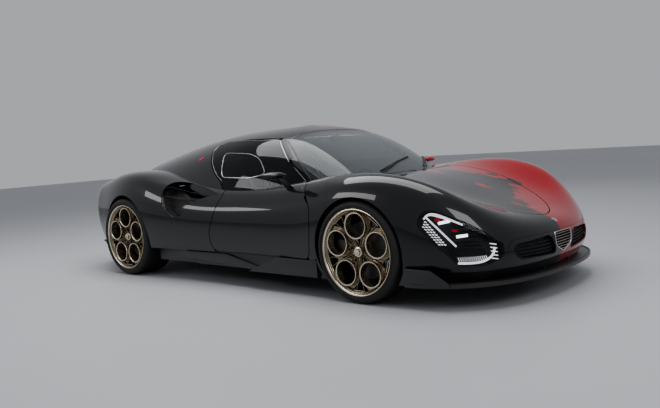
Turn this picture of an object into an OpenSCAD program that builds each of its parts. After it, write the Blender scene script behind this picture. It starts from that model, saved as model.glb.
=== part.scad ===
// Mid-engined two-seat coupe, built as separate panels, glass, cabin, running gear and wheels.
// Millimetres. +X is the nose, +Y the car's left side, +Z up. The origin is on the ground,
// under the middle of the car.

/* [Body] */
// Overall length of the bodywork, nose to tail
body_length = 4637; // [4100:1:5600]
// Width of the bodywork without the mirrors
body_width = 1966; // [1700:1:2300]
// Height of the roof above the ground
body_height = 1226; // [1080:1:1450]
// Thickness of the outer panels
panel_thickness = 25; // [16:1:32]
// Thickness of a whole door
door_thickness = 110; // [70:1:130]
// Thickness of the windows
glass_thickness = 10; // [6:1:14]
// Shut gap around every opening panel
shut_gap = 6; // [5:1:10]

/* [Running gear] */
// Distance between the front and rear axles
wheelbase = 2700; // [2500:1:2800]
// Front tyre radius
front_tyre_radius = 340; // [300:1:350]
// Front tyre width
front_tyre_width = 245; // [200:1:265]
// Rear tyre radius
rear_tyre_radius = 345; // [300:1:355]
// Rear tyre width
rear_tyre_width = 305; // [240:1:320]
// Outer face of the front tyres, from the car's centre line
front_outer_face = 960; // [930:1:965]
// Outer face of the rear tyres, from the car's centre line
rear_outer_face = 965; // [940:1:970]
// Radius of the wheel rims
rim_radius = 286; // [250:1:295]
// Brake disc radius
disc_radius = 195; // [160:1:205]
// Room between tyre and wheel arch
arch_room = 22; // [15:1:30]

/* [Cabin] */
// Width of each seat
seat_width = 490; // [420:1:540]
// Distance of each seat's middle from the car's centre line
seat_offset = 350; // [320:1:380]
// Radius of the steering wheel rim
steering_wheel_radius = 180; // [160:1:195]

/* [Mounts] */
// Bore of the locating hole in each jacking pad
jack_bore = 18; // [12:1:24]
// Side of each square jacking pad
jack_pad = 80; // [50:1:100]

/* [Hidden] */
// Reference shape that the control points below describe
reference = [4637, 1966, 1226];
stretch = [body_length / reference[0], body_width / reference[1], body_height / reference[2]];
front_axle_x = 1310 * stretch[0];
rear_axle_x = front_axle_x - wheelbase;
slip = 0.3;
running_fit = 0.08;
steps_along = 3;
steps_up = 2;
shell_base = 100;
wheel_well_wall = 4;
kingpin_inset = 65;
post_radius = 24;
pin_radius = 12;
spindle_radius = 28;
arm_height = 172;
hub_radius = 75;
hub_face = 30;
hinge_pin_radius = 5;
cell_rear = -560;
cell_front = 900;
seat_gap = 0.3;
glass_turning_room = 26;
door_turning_room = 16;
intake_depth = 75;
column_radius = 16;
wheel_tilt = 114;
wheel_middle = [300, seat_offset, 660];
floor_z = 125;
sill_top = 400;
sill_outer = 790;
behind_door = [[-188, 560, 560], [850, 1000, 735]];
hinge_post = [[760, 700, 150], [850, 775, 735]];

// Rows of control points run from the lower edge of the body up to its centre line.
// Each row runs from the middle of the tail round the left side to the middle of the nose.
body_rows = [
  [[-2200, 0, 240], [-2190, 420, 240], [-2110, 740, 240], [-1960, 790, 230], [-1680, 834, 180],
   [-1390, 883, 140], [-1100, 888, 125], [-800, 869, 125], [-400, 850, 125], [0, 840, 125],
   [400, 850, 125], [780, 880, 125], [1050, 900, 125], [1310, 915, 130], [1570, 900, 150],
   [1830, 850, 160], [2080, 720, 165], [2210, 400, 165], [2240, 0, 165]],
  [[-2235, 0, 340], [-2220, 440, 340], [-2120, 790, 350], [-1960, 834, 360], [-1680, 912, 330],
   [-1390, 956, 300], [-1100, 966, 290], [-800, 944, 290], [-400, 915, 290], [0, 900, 290],
   [400, 905, 290], [780, 930, 290], [1050, 955, 290], [1310, 972, 290], [1570, 960, 280],
   [1830, 905, 260], [2130, 760, 230], [2260, 430, 225], [2290, 0, 220]],
  [[-2245, 0, 480], [-2230, 450, 480], [-2130, 820, 490], [-1960, 853, 500], [-1680, 942, 500],
   [-1390, 985, 500], [-1100, 991, 490], [-800, 973, 480], [-400, 940, 470], [0, 915, 470],
   [400, 912, 470], [780, 935, 470], [1050, 968, 480], [1310, 990, 490], [1570, 972, 470],
   [1830, 915, 400], [2140, 770, 320], [2270, 430, 310], [2310, 0, 300]],
  [[-2260, 0, 620], [-2240, 450, 620], [-2140, 815, 620], [-1960, 844, 640], [-1680, 927, 680],
   [-1390, 981, 695], [-1100, 984, 690], [-800, 963, 650], [-400, 925, 610], [0, 900, 600],
   [400, 898, 600], [780, 920, 610], [1050, 958, 650], [1310, 982, 675], [1570, 965, 650],
   [1830, 900, 560], [2120, 750, 430], [2260, 420, 400], [2310, 0, 375]],
  [[-2290, 0, 760], [-2270, 440, 755], [-2170, 780, 750], [-1960, 810, 785], [-1680, 868, 838],
   [-1390, 922, 858], [-1100, 922, 845], [-800, 879, 772], [-400, 845, 700], [0, 835, 690],
   [400, 840, 695], [780, 868, 730], [1050, 905, 788], [1310, 935, 816], [1570, 915, 800],
   [1830, 850, 710], [2070, 720, 560], [2220, 400, 460], [2290, 0, 435]],
  [[-2300, 0, 850], [-2280, 410, 840], [-2180, 680, 815], [-1960, 700, 858], [-1680, 770, 915],
   [-1390, 830, 937], [-1100, 820, 915], [-800, 785, 843], [-400, 775, 780], [0, 775, 760],
   [400, 775, 770], [780, 780, 820], [1050, 790, 858], [1310, 800, 878], [1570, 790, 864],
   [1830, 740, 790], [2000, 640, 640], [2140, 340, 505], [2240, 0, 475]],
  [[-2250, 0, 885], [-2230, 300, 880], [-2150, 450, 860], [-1960, 440, 893], [-1680, 480, 915],
   [-1390, 520, 918], [-1100, 520, 905], [-800, 520, 862], [-400, 540, 800], [0, 540, 780],
   [400, 540, 780], [780, 540, 800], [1050, 560, 808], [1310, 580, 786], [1570, 560, 716],
   [1830, 520, 610], [2000, 420, 560], [2080, 200, 525], [2140, 0, 510]],
  [[-2190, 0, 895], [-2150, 0, 895], [-2100, 0, 892], [-1960, 0, 890], [-1680, 0, 905],
   [-1390, 0, 905], [-1100, 0, 900], [-800, 0, 860], [-400, 0, 800], [0, 0, 780], [400, 0, 790],
   [780, 0, 810], [1050, 0, 820], [1310, 0, 790], [1570, 0, 720], [1830, 0, 620], [1960, 0, 575],
   [2030, 0, 550], [2080, 0, 535]]
];

// The cabin's rows run from its foot inside the body up to the ridge of the roof.
cabin_rows = [
  [[-2150, 0, 870], [-1950, 360, 850], [-1500, 590, 800], [-1050, 720, 740], [-640, 790, 680],
   [-260, 815, 640], [120, 815, 630], [650, 800, 650], [1040, 650, 680], [1110, 340, 695],
   [1130, 0, 700]],
  [[-2120, 0, 905], [-1950, 320, 912], [-1500, 540, 915], [-1000, 670, 890], [-600, 745, 840],
   [-230, 775, 800], [120, 785, 780], [610, 765, 778], [985, 630, 785], [1045, 320, 800],
   [1060, 0, 805]],
  [[-1980, 0, 945], [-1850, 240, 955], [-1450, 430, 985], [-1000, 580, 1000], [-600, 670, 985],
   [-230, 710, 960], [90, 718, 945], [500, 690, 940], [795, 575, 945], [845, 290, 955], [850, 0, 960]],
  [[-1780, 0, 985], [-1680, 160, 995], [-1350, 310, 1045], [-950, 450, 1080], [-560, 560, 1085],
   [-240, 610, 1080], [20, 622, 1080], [320, 590, 1075], [565, 500, 1082], [600, 255, 1095],
   [600, 0, 1100]],
  [[-1480, 0, 1038], [-1400, 90, 1052], [-1150, 200, 1096], [-850, 300, 1142], [-540, 400, 1168],
   [-280, 455, 1174], [-70, 472, 1176], [130, 450, 1178], [290, 370, 1188], [300, 185, 1197],
   [290, 0, 1200]],
  [[-970, 0, 1150], [-920, 0, 1160], [-780, 0, 1182], [-600, 0, 1204], [-420, 0, 1225],
   [-270, 0, 1233], [-150, 0, 1236], [-70, 0, 1238], [-20, 0, 1238], [10, 0, 1238], [20, 0, 1238]]
];

// Outlines seen from the side, as [x, z].
door_outline = [[780, 815], [797, 757], [848, 698], [902, 632], [905, 470], [880, 310], [850, 262],
  [-190, 262],
  [-235, 330], [-230, 430], [-170, 560], [-140, 700], [-150, 760], [-192, 815]];
side_glass_outline = [[770, 786], [545, 904], [407, 1020], [290, 1104], [250, 1116], [74, 1122],
  [-182, 1128],
  [-400, 1130], [-480, 1118], [-512, 1085], [-500, 1040], [-430, 958], [-320, 858], [-215, 800],
  [-180, 720],
  [760, 720]];
glass_swing_outline = [[-182, 1090], [-182, 1128], [-120, 1132], [74, 1128], [256, 1122], [301, 1107],
  [260, 1090]];
screen_outline = [[830, 740], [797, 796], [591, 913], [462, 1017], [325, 1102], [345, 1130], [400, 1195],
  [420, 1300], [1400, 1300], [1400, 740]];
fender_rear_line = [[1010, 1000], [1020, 800], [1078, 702], [1062, 600], [1000, 540], [940, 420],
  [940, 100]];
front_fender_outline = concat(fender_rear_line, [[1600, 100], [1600, 250], [1990, 262], [2130, 262],
  [2200, 330],
  [2200, 402], [2420, 402], [2420, 1000]]);
front_bumper_outline = [[1600, 165], [1600, 250], [1990, 262], [2130, 262], [2200, 330], [2200, 402],
  [2420, 402], [2420, 165]];
cowl_outline = concat([[700, 1000], [760, 815]], [for (i = [0:5]) door_outline[i]], [[850, 262], [940, 262],
  [940, 420], [1000, 540], [1062, 600], [1078, 702], [1020, 800], [1092, 850], [1092, 1000]]);
rear_fender_outline = [[-192, 1000], [-192, 815], [-150, 760], [-140, 700], [-170, 560], [-230, 430],
  [-235, 330], [-190, 262], [-1780, 262], [-1820, 330], [-1960, 560], [-2060, 700], [-2400, 700],
  [-2400, 1000]];
rear_bumper_outline = [[-1780, 240], [-1780, 262], [-1820, 330], [-1960, 560], [-2060, 700], [-2400, 700],
  [-2400, 240]];
side_intake_outline = [[-165, 712], [-393, 765], [-643, 809], [-780, 822], [-826, 790], [-838, 753],
  [-812, 666], [-760, 578], [-620, 516], [-556, 530], [-560, 602], [-470, 652], [-314, 696]];
lamp_outline = [[1779, 560], [1798, 601], [1845, 616], [1903, 591], [2022, 533], [2110, 465], [2156, 410],
  [2184, 386], [2190, 314], [2160, 284], [2124, 268], [2001, 268], [1952, 331], [1776, 519]];
seat_outline = [[330, 330], [300, floor_z + 30.3], [-160, floor_z + 30.3], [-250, 190], [-420, 640],
  [-470, 880], [-450, 960],
  [-380, 970], [-330, 860], [-240, 560], [-170, 400], [-60, 345], [180, 380], [300, 375]];
dash_outline = [[420, 560], [400, 640], [440, 720], [560, 748], [730, 750], [850, 700], [859.7, 560],
  [760, 480]];

// Outlines seen from above, as [x, y], for the left half.
hood_plan = [[1112, 0], [1112, 535], [1196, 529], [1423, 500], [1600, 485], [1775, 430], [1924, 360],
  [2072, 235], [2150, 110], [2180, 0]];
lid_plan = [[-762, 0], [-762, 370], [-1150, 400], [-1500, 400], [-1850, 430], [-2130, 430], [-2400, 430],
  [-2400, 0]];
rear_window_plan = [[-830, 0], [-830, 250], [-900, 275], [-1180, 265], [-1240, 240], [-1240, 0]];
splitter_plan = [[2318.5, 0], [2312, 200], [2285, 400], [2225, 600], [2130, 740], [1990, 865], [1860, 922],
  [1640, 955], [1640, 700], [1500, 480], [1500, 0]];

// Outlines seen from the front, as [y, z].
nose_intake_front = [[523, 368], [170, 386], [128, 300], [105, 253], [483, 268], [540, 320]];
shield_front = [[125, 392], [118, 300], [0, 255], [-118, 300], [-125, 392]];

function at(p) = [p[0] * stretch[0], p[1] * stretch[1], p[2] * stretch[2]];
function flip(p) = [p[0], -p[1], p[2]];
function blend(t) = [pow(1 - t, 3), 3 * pow(t, 3) - 6 * t * t + 4, -3 * pow(t, 3) + 3 * t * t + 3 * t + 1,
  pow(t, 3)] / 6;
function mixed(a, i, w) = a[i] * w[0] + a[i + 1] * w[1] + a[i + 2] * w[2] + a[i + 3] * w[3];
function with_ends(row) = concat([flip(row[1])], row, [flip(row[len(row) - 2])]);
function along(row) = [for (k = [0:(len(row) - 3) * steps_along])
  let(i = min(floor(k / steps_along), len(row) - 4)) mixed(row, i, blend(k / steps_along - i))];
function skin_grid(rows) = let(
    sampled = [for (row = rows) along(with_ends([for (p = row) at(p)]))],
    below = [for (i = [0:len(sampled[0]) - 1]) 2 * sampled[0][i] - sampled[1][i]],
    above = [for (p = sampled[len(sampled) - 2]) flip(p)],
    all = concat([below], sampled, [above]))
  [for (k = [0:(len(rows) - 1) * steps_up]) let(j = min(floor(k / steps_up), len(rows) - 2),
    w = blend(k / steps_up - j)) [for (i = [0:len(sampled[0]) - 1])
      all[j][i] * w[0] + all[j + 1][i] * w[1] + all[j + 2][i] * w[2] + all[j + 3][i] * w[3]]];

body_grid = skin_grid(body_rows);
cabin_grid = skin_grid(cabin_rows);

// A closed solid under a grid whose first and last columns and last row lie on the centre plane.
module closed_solid(grid) {
  last_row = len(grid) - 1;
  last = len(grid[0]) - 1;
  ring = 2 * last;
  points = concat(
    [for (r = [0:last_row - 1]) for (k = [0:ring - 1]) k <= last ? grid[r][k] : flip(grid[r][ring - k])],
    grid[last_row]);
  function at_ring(r, k) = let(m = k % ring) r < last_row ? r * ring + m :
    last_row * ring + (m <= last ? m : ring - m);
  sides = [for (r = [0:last_row - 1]) for (k = [0:ring - 1])
    let(a = at_ring(r, k), b = at_ring(r, k + 1), c = at_ring(r + 1, k + 1), d = at_ring(r + 1, k))
      each (k < last ? [[a, b, c], [a, c, d]] : [[a, b, d], [b, c, d]])];
  base = [for (k = [0:last - 1])
    each (k == 0 ? [[1, 0, ring - 1]] : k == last - 1 ? [[last, k, ring - k]]
      : [[k + 1, k, ring - k], [k + 1, ring - k, ring - k - 1]])];
  polyhedron(points = points, faces = concat(sides, base), convexity = 10);
}

module body_solid(depth = 0) {
  translate([0, 0, shell_base])
    scale([1 - 2 * depth / body_length, 1 - 2 * depth / body_width, 1 - depth / 700])
      translate([0, 0, -shell_base])
        closed_solid(body_grid);
}

module cabin_solid(depth = 0) {
  middle = at([-300, 0, 600]);
  translate(middle)
    scale([1 - depth / 1400, 1 - depth / 790, 1 - depth / 630])
      translate(-middle)
        closed_solid(cabin_grid);
}

module body_shell(depth) {
  difference() {
    body_solid();
    body_solid(depth);
  }
}

module cabin_shell(depth) {
  difference() {
    cabin_solid();
    cabin_solid(depth);
    body_solid(panel_thickness + 16);
  }
}

// Keeps a piece as one smooth-sided mesh.
module shaped() {
  resize([0, 0, 0])
    children();
}

module box(low, high) {
  translate(at(low))
    cube(at(high) - at(low));
}

module both_sides() {
  children();
  mirror([0, 1, 0])
    children();
}

module side_of(hand) {
  if (hand < 0)
    mirror([0, 1, 0])
      children();
  else
    children();
}

// A side outline pushed across the car from y_low to y_high.
module across(outline, y_low, y_high, grow = 0) {
  translate([0, y_high * stretch[1], 0])
    rotate([90, 0, 0])
      linear_extrude((y_high - y_low) * stretch[1])
        offset(delta = grow)
          polygon([for (p = outline) [p[0] * stretch[0], p[1] * stretch[2]]]);
}

module across_plain(outline, y_low, y_high) {
  translate([0, y_high * stretch[1], 0])
    rotate([90, 0, 0])
      linear_extrude((y_high - y_low) * stretch[1])
        polygon([for (p = outline) [p[0] * stretch[0], p[1] * stretch[2]]]);
}

function both_halves(plan) = concat(plan,
  [for (i = [len(plan) - 1:-1:0]) if (plan[i][1] > 0) flip_plan(plan[i])]);
function flip_plan(p) = [p[0], -p[1]];

// A plan outline, given for the left half, pushed up from z_low to z_high over both halves.
module upward(plan, z_low, z_high, grow = 0) {
  translate([0, 0, z_low * stretch[2]])
    linear_extrude((z_high - z_low) * stretch[2])
      offset(delta = grow)
        polygon([for (p = both_halves(plan)) [p[0] * stretch[0], p[1] * stretch[1]]]);
}

module upward_plain(plan, z_low, z_high) {
  translate([0, 0, z_low * stretch[2]])
    linear_extrude((z_high - z_low) * stretch[2])
      polygon([for (p = both_halves(plan)) [p[0] * stretch[0], p[1] * stretch[1]]]);
}

// A front outline pushed back from x_high to x_low.
module lengthwise(outline, x_low, x_high, grow = 0) {
  translate([x_low * stretch[0], 0, 0])
    rotate([90, 0, 90])
      linear_extrude((x_high - x_low) * stretch[0])
        offset(delta = grow)
          polygon([for (p = outline) [p[0] * stretch[1], p[1] * stretch[2]]]);
}

module axle_cylinder(x, z, radius, y_low, y_high, sides = 0) {
  translate([x, y_high, z])
    rotate([90, 0, 0])
      cylinder(r = radius, h = y_high - y_low, $fn = sides > 0 ? sides : 72);
}

module front_arch() {
  both_sides()
    axle_cylinder(front_axle_x, front_tyre_radius, front_tyre_radius + arch_room, 500, 1200);
}

module rear_arch() {
  both_sides()
    axle_cylinder(rear_axle_x, rear_tyre_radius, rear_tyre_radius + arch_room + 8, 560, 1200);
}

// ---- Hinge lines ----
hood_hinge = [1118, 795];
lid_hinge = [-769, 1161];
door_hinge_low = [845, 890, 690];
door_hinge_high = [407, 600, 1010];
door_hinge_way = door_hinge_high - door_hinge_low;

// Draws about the door's hinge line: local z runs up along it and local y points into the car.
module about_door_hinge() {
  way = at(door_hinge_way);
  translate(at(door_hinge_low))
    rotate([0, acos(way[2] / norm(way)), atan2(way[1], way[0])])
      children();
}

module door_hinge_bore() {
  about_door_hinge()
    cylinder(r = hinge_pin_radius + slip, h = 150, $fn = 32);
}

// Room around the arm of the hinge, open towards the front edge of the door.
module door_hinge_notch() {
  about_door_hinge()
    translate([-200, -17, 66])
      cube([400, 400, 54]);
}

// Room around the arm, its collar and its pin, for the panel beside it.
module door_hinge_arm_room() {
  about_door_hinge() {
    translate([-10, -10, 71])
      cube([20, 171, 44]);
    translate([0, 0, 45])
      cylinder(r = hinge_pin_radius + 1, h = 94, $fn = 24);
  }
}

module door_hinge_arm() {
  difference() {
    about_door_hinge() {
      translate([0, 0, 46])
        cylinder(r = hinge_pin_radius, h = 92);
      translate([0, 0, 72])
        cylinder(r = 9, h = 42);
      translate([-9, 0, 72])
        cube([18, 160, 42]);
    }
    box(hinge_post[0] - [60, 60, 0], hinge_post[1] + [80, slip, 80]);
  }
}

// ---- Bodywork ----
module front_fender(hand) {
  color([0.05, 0.05, 0.06])
    shaped()
      side_of(hand)
        difference() {
          intersection() {
            body_shell(panel_thickness);
            across(front_fender_outline, 0.15, 1100, -slip / 2);
          }
          upward(hood_plan, 300, 1000, shut_gap);
          box([990, -1, 700], [1107, 536, 1000]);
          cabin_solid();
          front_arch();
          across(lamp_outline, 500, 1100);
          lengthwise(shield_front, 2100, 2400);
        }
}

module front_fender_right() {
  front_fender(-1);
}

module front_fender_left() {
  front_fender(1);
}

module cowl() {
  color([0.05, 0.05, 0.06])
    shaped()
      difference() {
        intersection() {
          body_shell(panel_thickness);
          union() {
            both_sides()
              across(cowl_outline, 0, 1100, -slip / 2);
            box([900, -536, 700], [1092, 536, 1000]);
          }
        }
        both_sides()
          difference() {
            across(front_fender_outline, 535.5, 1100);
            box([900, -1, 0], [1092, 535.5, 1000]);
          }
        cabin_solid();
        front_arch();
        both_sides()
          door_hinge_arm_room();
      }
}

module hood() {
  color([0.05, 0.05, 0.06])
    shaped()
      difference() {
        intersection() {
          body_shell(panel_thickness);
          upward(hood_plan, 300, 1000);
        }
        cabin_solid();
        box([1090, -46, 700], [1134, 46, 900]);
        axle_cylinder(hood_hinge[0] * stretch[0], hood_hinge[1] * stretch[2],
          hinge_pin_radius + slip, -160, 160, 48);
      }
}

module front_bumper() {
  color([0.05, 0.05, 0.06])
    shaped()
      difference() {
        intersection() {
          body_shell(panel_thickness);
          both_sides()
            across(front_bumper_outline, 0, 1100, -slip / 2);
        }
        front_arch();
        both_sides() {
          across(lamp_outline, 500, 1100);
          lengthwise(nose_intake_front, 2000, 2400);
        }
        lengthwise(shield_front, 2100, 2400);
      }
}

module grille() {
  color([0.55, 0.55, 0.57])
    shaped() {
      intersection() {
        body_shell(45);
        difference() {
          lengthwise(shield_front, 2100, 2400, -slip);
          lengthwise(shield_front, 2100, 2400, -8);
        }
      }
      intersection() {
        body_shell(30);
        lengthwise(shield_front, 2100, 2400, -7);
        for (z = [270:18:390])
          box([2100, -130, z], [2400, 130, z + 7]);
      }
      both_sides()
        intersection() {
          difference() {
            body_solid(panel_thickness + slip);
            body_solid(panel_thickness + 12);
          }
          difference() {
            lengthwise(nose_intake_front, 2000, 2400, 8);
            across(lamp_outline, 500, 1100, 1);
          }
        }
    }
}

module headlights() {
  color([0.12, 0.12, 0.13])
    shaped()
      both_sides()
        intersection() {
          difference() {
            body_solid(6);
            body_solid(60);
          }
          across(lamp_outline, 500, 1100, -slip);
        }
}

module splitter() {
  color([0.1, 0.1, 0.1])
    difference() {
      union() {
        upward_plain(splitter_plan, 140, 165);
        both_sides()
          translate(at([1600, 944, 0]))
            rotate([0, 0, -7])
              across_plain([[0, 150], [0, 262], [259, 252], [375, 178], [385, 150]], -8, 8);
      }
      both_sides()
        axle_cylinder(front_axle_x, front_tyre_radius, front_tyre_radius + arch_room + 18, 500, 1200);
    }
}

module rear_fender(hand) {
  color([0.05, 0.05, 0.06])
    shaped()
      side_of(hand)
        difference() {
          intersection() {
            body_shell(panel_thickness);
            across(rear_fender_outline, 200, 1100, -slip / 2);
          }
          upward(lid_plan, 300, 1300, shut_gap);
          cabin_solid();
          rear_arch();
          across(side_intake_outline, 600, 1100);
        }
}

module rear_fender_right() {
  rear_fender(-1);
}

module rear_fender_left() {
  rear_fender(1);
}

module side_intakes() {
  color([0.03, 0.03, 0.03])
    shaped()
      both_sides()
        difference() {
          intersection() {
            body_solid(panel_thickness + slip);
            across(side_intake_outline, 600, 1100, 8);
          }
          body_solid(intake_depth + 12);
          difference() {
            across(side_intake_outline, 600, 1100);
            body_solid(intake_depth);
          }
          cabin_solid();
        }
}

module rear_bumper() {
  color([0.05, 0.05, 0.06])
    shaped()
      difference() {
        intersection() {
          body_shell(panel_thickness);
          both_sides()
            across(rear_bumper_outline, 0, 1100, -slip / 2);
        }
        rear_arch();
        tail_lamp_cylinders(slip);
        box([-2400, -210, 200], [-2000, 210, 400]);
      }
}

module roof() {
  color([0.05, 0.05, 0.06])
    shaped()
      difference() {
        cabin_shell(panel_thickness);
        both_sides() {
          across(side_glass_outline, 300, 1100);
          across(glass_swing_outline, 300, 1100);
          box(behind_door[0], behind_door[1]);
        }
        across(screen_outline, -1000, 1000);
        upward(lid_plan, 300, 1300, 14);
        box([-2400, -1000, 600], [-2040, 1000, 1300]);
      }
}

module windshield() {
  color([0.3, 0.33, 0.36, 0.4])
    shaped()
      intersection() {
        cabin_shell(glass_thickness);
        across(screen_outline, -1000, 1000, -slip);
      }
}

module engine_cover() {
  color([0.05, 0.05, 0.06])
    shaped()
      difference() {
        intersection() {
          union() {
            cabin_shell(panel_thickness);
            difference() {
              body_shell(panel_thickness);
              cabin_solid(1);
            }
          }
          upward(lid_plan, 706, 1300);
        }
        upward(rear_window_plan, 706, 1300);
        box([-786, -46, 900], [-700, 46, 1300]);
        axle_cylinder(lid_hinge[0] * stretch[0], lid_hinge[1] * stretch[2],
          hinge_pin_radius + slip, -90, 90, 48);
      }
}

module rear_glass() {
  color([0.2, 0.22, 0.25, 0.5])
    shaped()
      intersection() {
        cabin_shell(glass_thickness);
        upward(rear_window_plan, 706, 1300, -slip);
      }
}

module hinges() {
  color([0.6, 0.6, 0.62]) {
    box([1092.3, -40, hood_hinge[1] - 14], [1128, 40, hood_hinge[1] + 8]);
    axle_cylinder(hood_hinge[0] * stretch[0], hood_hinge[1] * stretch[2], hinge_pin_radius, -150, 150);
    box([-779, -40, lid_hinge[1] - 12], [-748.3, 40, lid_hinge[1] + 6]);
    axle_cylinder(lid_hinge[0] * stretch[0], lid_hinge[1] * stretch[2], hinge_pin_radius, -80, 80);
    both_sides()
      door_hinge_arm();
  }
}

// ---- Doors ----
module door(hand) {
  color([0.05, 0.05, 0.06])
    shaped()
      side_of(hand)
        difference() {
          union() {
            intersection() {
              body_shell(panel_thickness);
              across(door_outline, 400, 1100, -shut_gap);
            }
            intersection() {
              body_shell(door_thickness);
              across(door_outline, 400, 1100, -50);
            }
          }
          cabin_solid();
          door_hinge_bore();
          door_hinge_notch();
          about_door_hinge()
            translate([0, 0, -60])
              cylinder(r = door_turning_room, h = 80, $fn = 24);
          box(hinge_post[0] - [30, 80, 0], hinge_post[1] + [60, 8, 80]);
        }
}

module door_right() {
  door(-1);
}

module door_left() {
  door(1);
}

module door_glass(hand) {
  color([0.15, 0.16, 0.18, 0.6])
    shaped()
      side_of(hand)
        difference() {
          intersection() {
            cabin_shell(glass_thickness);
            across(side_glass_outline, 300, 1100, -shut_gap);
          }
          door_hinge_notch();
          about_door_hinge()
            translate([0, 0, 490])
              cylinder(r = glass_turning_room, h = 380, $fn = 24);
        }
}

module door_glass_right() {
  door_glass(-1);
}

module door_glass_left() {
  door_glass(1);
}

module mirror_unit(hand) {
  color([0.05, 0.05, 0.06])
    shaped()
      side_of(hand)
        difference() {
          union() {
            translate(at([615, 972, 852]))
              rotate([0, 0, -14])
                scale([55, 96, 32])
                  sphere(r = 1, $fn = 20);
            across([[560, 740], [600, 845], [650, 845], [665, 740]], 790, 930);
          }
          body_solid();
          box([500, 700, 700], [700, 1000, 740]);
          across([[540, 700], [540, 832], [700, 832], [700, 700]], 860, 1000);
        }
}

module mirror_right() {
  mirror_unit(-1);
}

module mirror_left() {
  mirror_unit(1);
}

// ---- Structure ----
module tub() {
  color([0.08, 0.08, 0.09]) {
    box([cell_rear, -sill_outer, floor_z], [cell_front, sill_outer, floor_z + 30]);
    box([cell_rear, -700, floor_z], [cell_rear + 40, 700, 760]);
    box([cell_front - 40, -500, floor_z], [cell_front, 500, 690]);
    box([cell_rear + 40, -70, floor_z], [700, 70, 330]);
    both_sides() {
      box([cell_rear, 640, floor_z], [cell_front, sill_outer, sill_top]);
      box(hinge_post[0], hinge_post[1]);
    }
  }
}

module front_frame() {
  color([0.08, 0.08, 0.09]) {
    both_sides() {
      box([cell_front + seat_gap, 440, 440], [1900, 500, 530]);
      box([cell_front + seat_gap, 380, 165.3], [1900, 500, 240]);
      box([1840, 380, 180], [1900, 500, 520]);
    }
    box([cell_front + seat_gap, -440, 180], [1900, 440, 200]);
    box([1860, -440, 440], [1900, 440, 500]);
  }
}

module rear_frame() {
  color([0.08, 0.08, 0.09]) {
    both_sides() {
      box([-2050, 600, 560], [cell_rear - seat_gap, 640, 620]);
      box([-2050, 380, 200], [cell_rear - seat_gap, 440, 260]);
      box([-1620, 400, 160], [-1160, 440, 540]);
      box([-2050, 380, 200], [-1990, 440, 620]);
    }
    box([-2050, -640, 200], [-1990, 640, 260]);
    box([-2050, -640, 560], [-1990, 640, 620]);
    box([-1990, -440, 200], [cell_rear - seat_gap, 440, 215]);
  }
}

module jacking_pads() {
  color([0.15, 0.15, 0.15])
    both_sides()
      for (x = [-480, 720])
        translate([x * stretch[0], 700 * stretch[1], (floor_z - 15) * stretch[2]])
          difference() {
            translate([-jack_pad / 2, -jack_pad / 2, 0])
              cube([jack_pad, jack_pad, 15 * stretch[2]]);
            translate([0, 0, -1])
              cylinder(d = jack_bore, h = 20, $fn = 60);
          }
}

module side_skirts() {
  color([0.1, 0.1, 0.1])
    both_sides() {
      across_plain([[-1005, 262], [-1005, 150], [-600, 150], [600, 138], [944, 138], [944, 262]],
        sill_outer + slip / 2, 868);
      across_plain([[-590, 250], [-570, 200], [-100, 172], [215, 150], [330, 165], [-60, 250]], 868, 905);
      across_plain([[216, 138], [300, 170], [528, 261], [930, 261], [930, 138]], 868, 925);
    }
}

module diffuser() {
  color([0.1, 0.1, 0.1]) {
    across_plain([[-1790, 199.7], [-1790, 150], [-1830, 150], [-2318.5, 225], [-2318.5, 239.7],
      [-2051, 239.7],
      [-2051, 199.7]], -640, 640);
    both_sides()
      for (y = [120, 300, 480, 622])
        across_plain([[-1850, 155], [-1900, 120], [-2200, 120], [-2300, 228]], y, y + 14);
  }
}

module exhaust() {
  color([0.4, 0.4, 0.42]) {
    both_sides()
      translate([-2300 * stretch[0], 95 * stretch[1], 330 * stretch[2]])
        rotate([0, 90, 0])
          difference() {
            cylinder(r = 52, h = 270);
            translate([0, 0, -1])
              cylinder(r = 46, h = 200);
          }
    box([-2045, -360, 260.3], [-1760, 360, 400]);
  }
}

module tail_lamp_cylinders(extra = 0) {
  both_sides()
    for (spot = [[-2238, 455], [-2205, 625]])
      translate([spot[0] * stretch[0] - extra, spot[1] * stretch[1], 560 * stretch[2]])
        rotate([0, 90, 0])
          cylinder(r = 58 + extra, h = 90 + 2 * extra, $fn = 60);
}

module tail_lights() {
  color([0.7, 0.05, 0.05])
    tail_lamp_cylinders();
}

module front_arch_liners() {
  color([0.06, 0.06, 0.06])
    shaped()
      both_sides()
        intersection() {
          liner(front_axle_x, front_tyre_radius, front_tyre_radius + 44, 500 + slip, 940);
          body_solid(panel_thickness + slip);
        }
}

module rear_arch_liners() {
  color([0.06, 0.06, 0.06])
    shaped()
      both_sides()
        intersection() {
          liner(rear_axle_x, rear_tyre_radius, rear_tyre_radius + 34, 640 + slip, 960);
          body_solid(panel_thickness + slip);
        }
}

module liner(x, z, radius, y_low, y_high) {
  difference() {
    axle_cylinder(x, z, radius + wheel_well_wall, y_low, y_high, 40);
    axle_cylinder(x, z, radius, y_low - 1, y_high + 1, 40);
    translate([x - 600, y_low - 1, -400])
      cube([1200, y_high - y_low + 2, 400 + z - 60]);
  }
}

// ---- Running gear ----
// Each corner is drawn about the wheel's own centre, with +Y pointing out of the car.
module place_corner(x, tyre_radius, tyre_width, outer_face, hand) {
  side_of(hand)
    translate([x, outer_face - tyre_width / 2, tyre_radius])
      children();
}

module front_corner(hand) {
  place_corner(front_axle_x, front_tyre_radius, front_tyre_width, front_outer_face, hand)
    children();
}

module rear_corner(hand) {
  place_corner(rear_axle_x, rear_tyre_radius, rear_tyre_width, rear_outer_face, hand)
    children();
}

module ring_about_axle(profile) {
  rotate([-90, 0, 0])
    rotate_extrude($fn = 120)
      polygon(profile);
}

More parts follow.
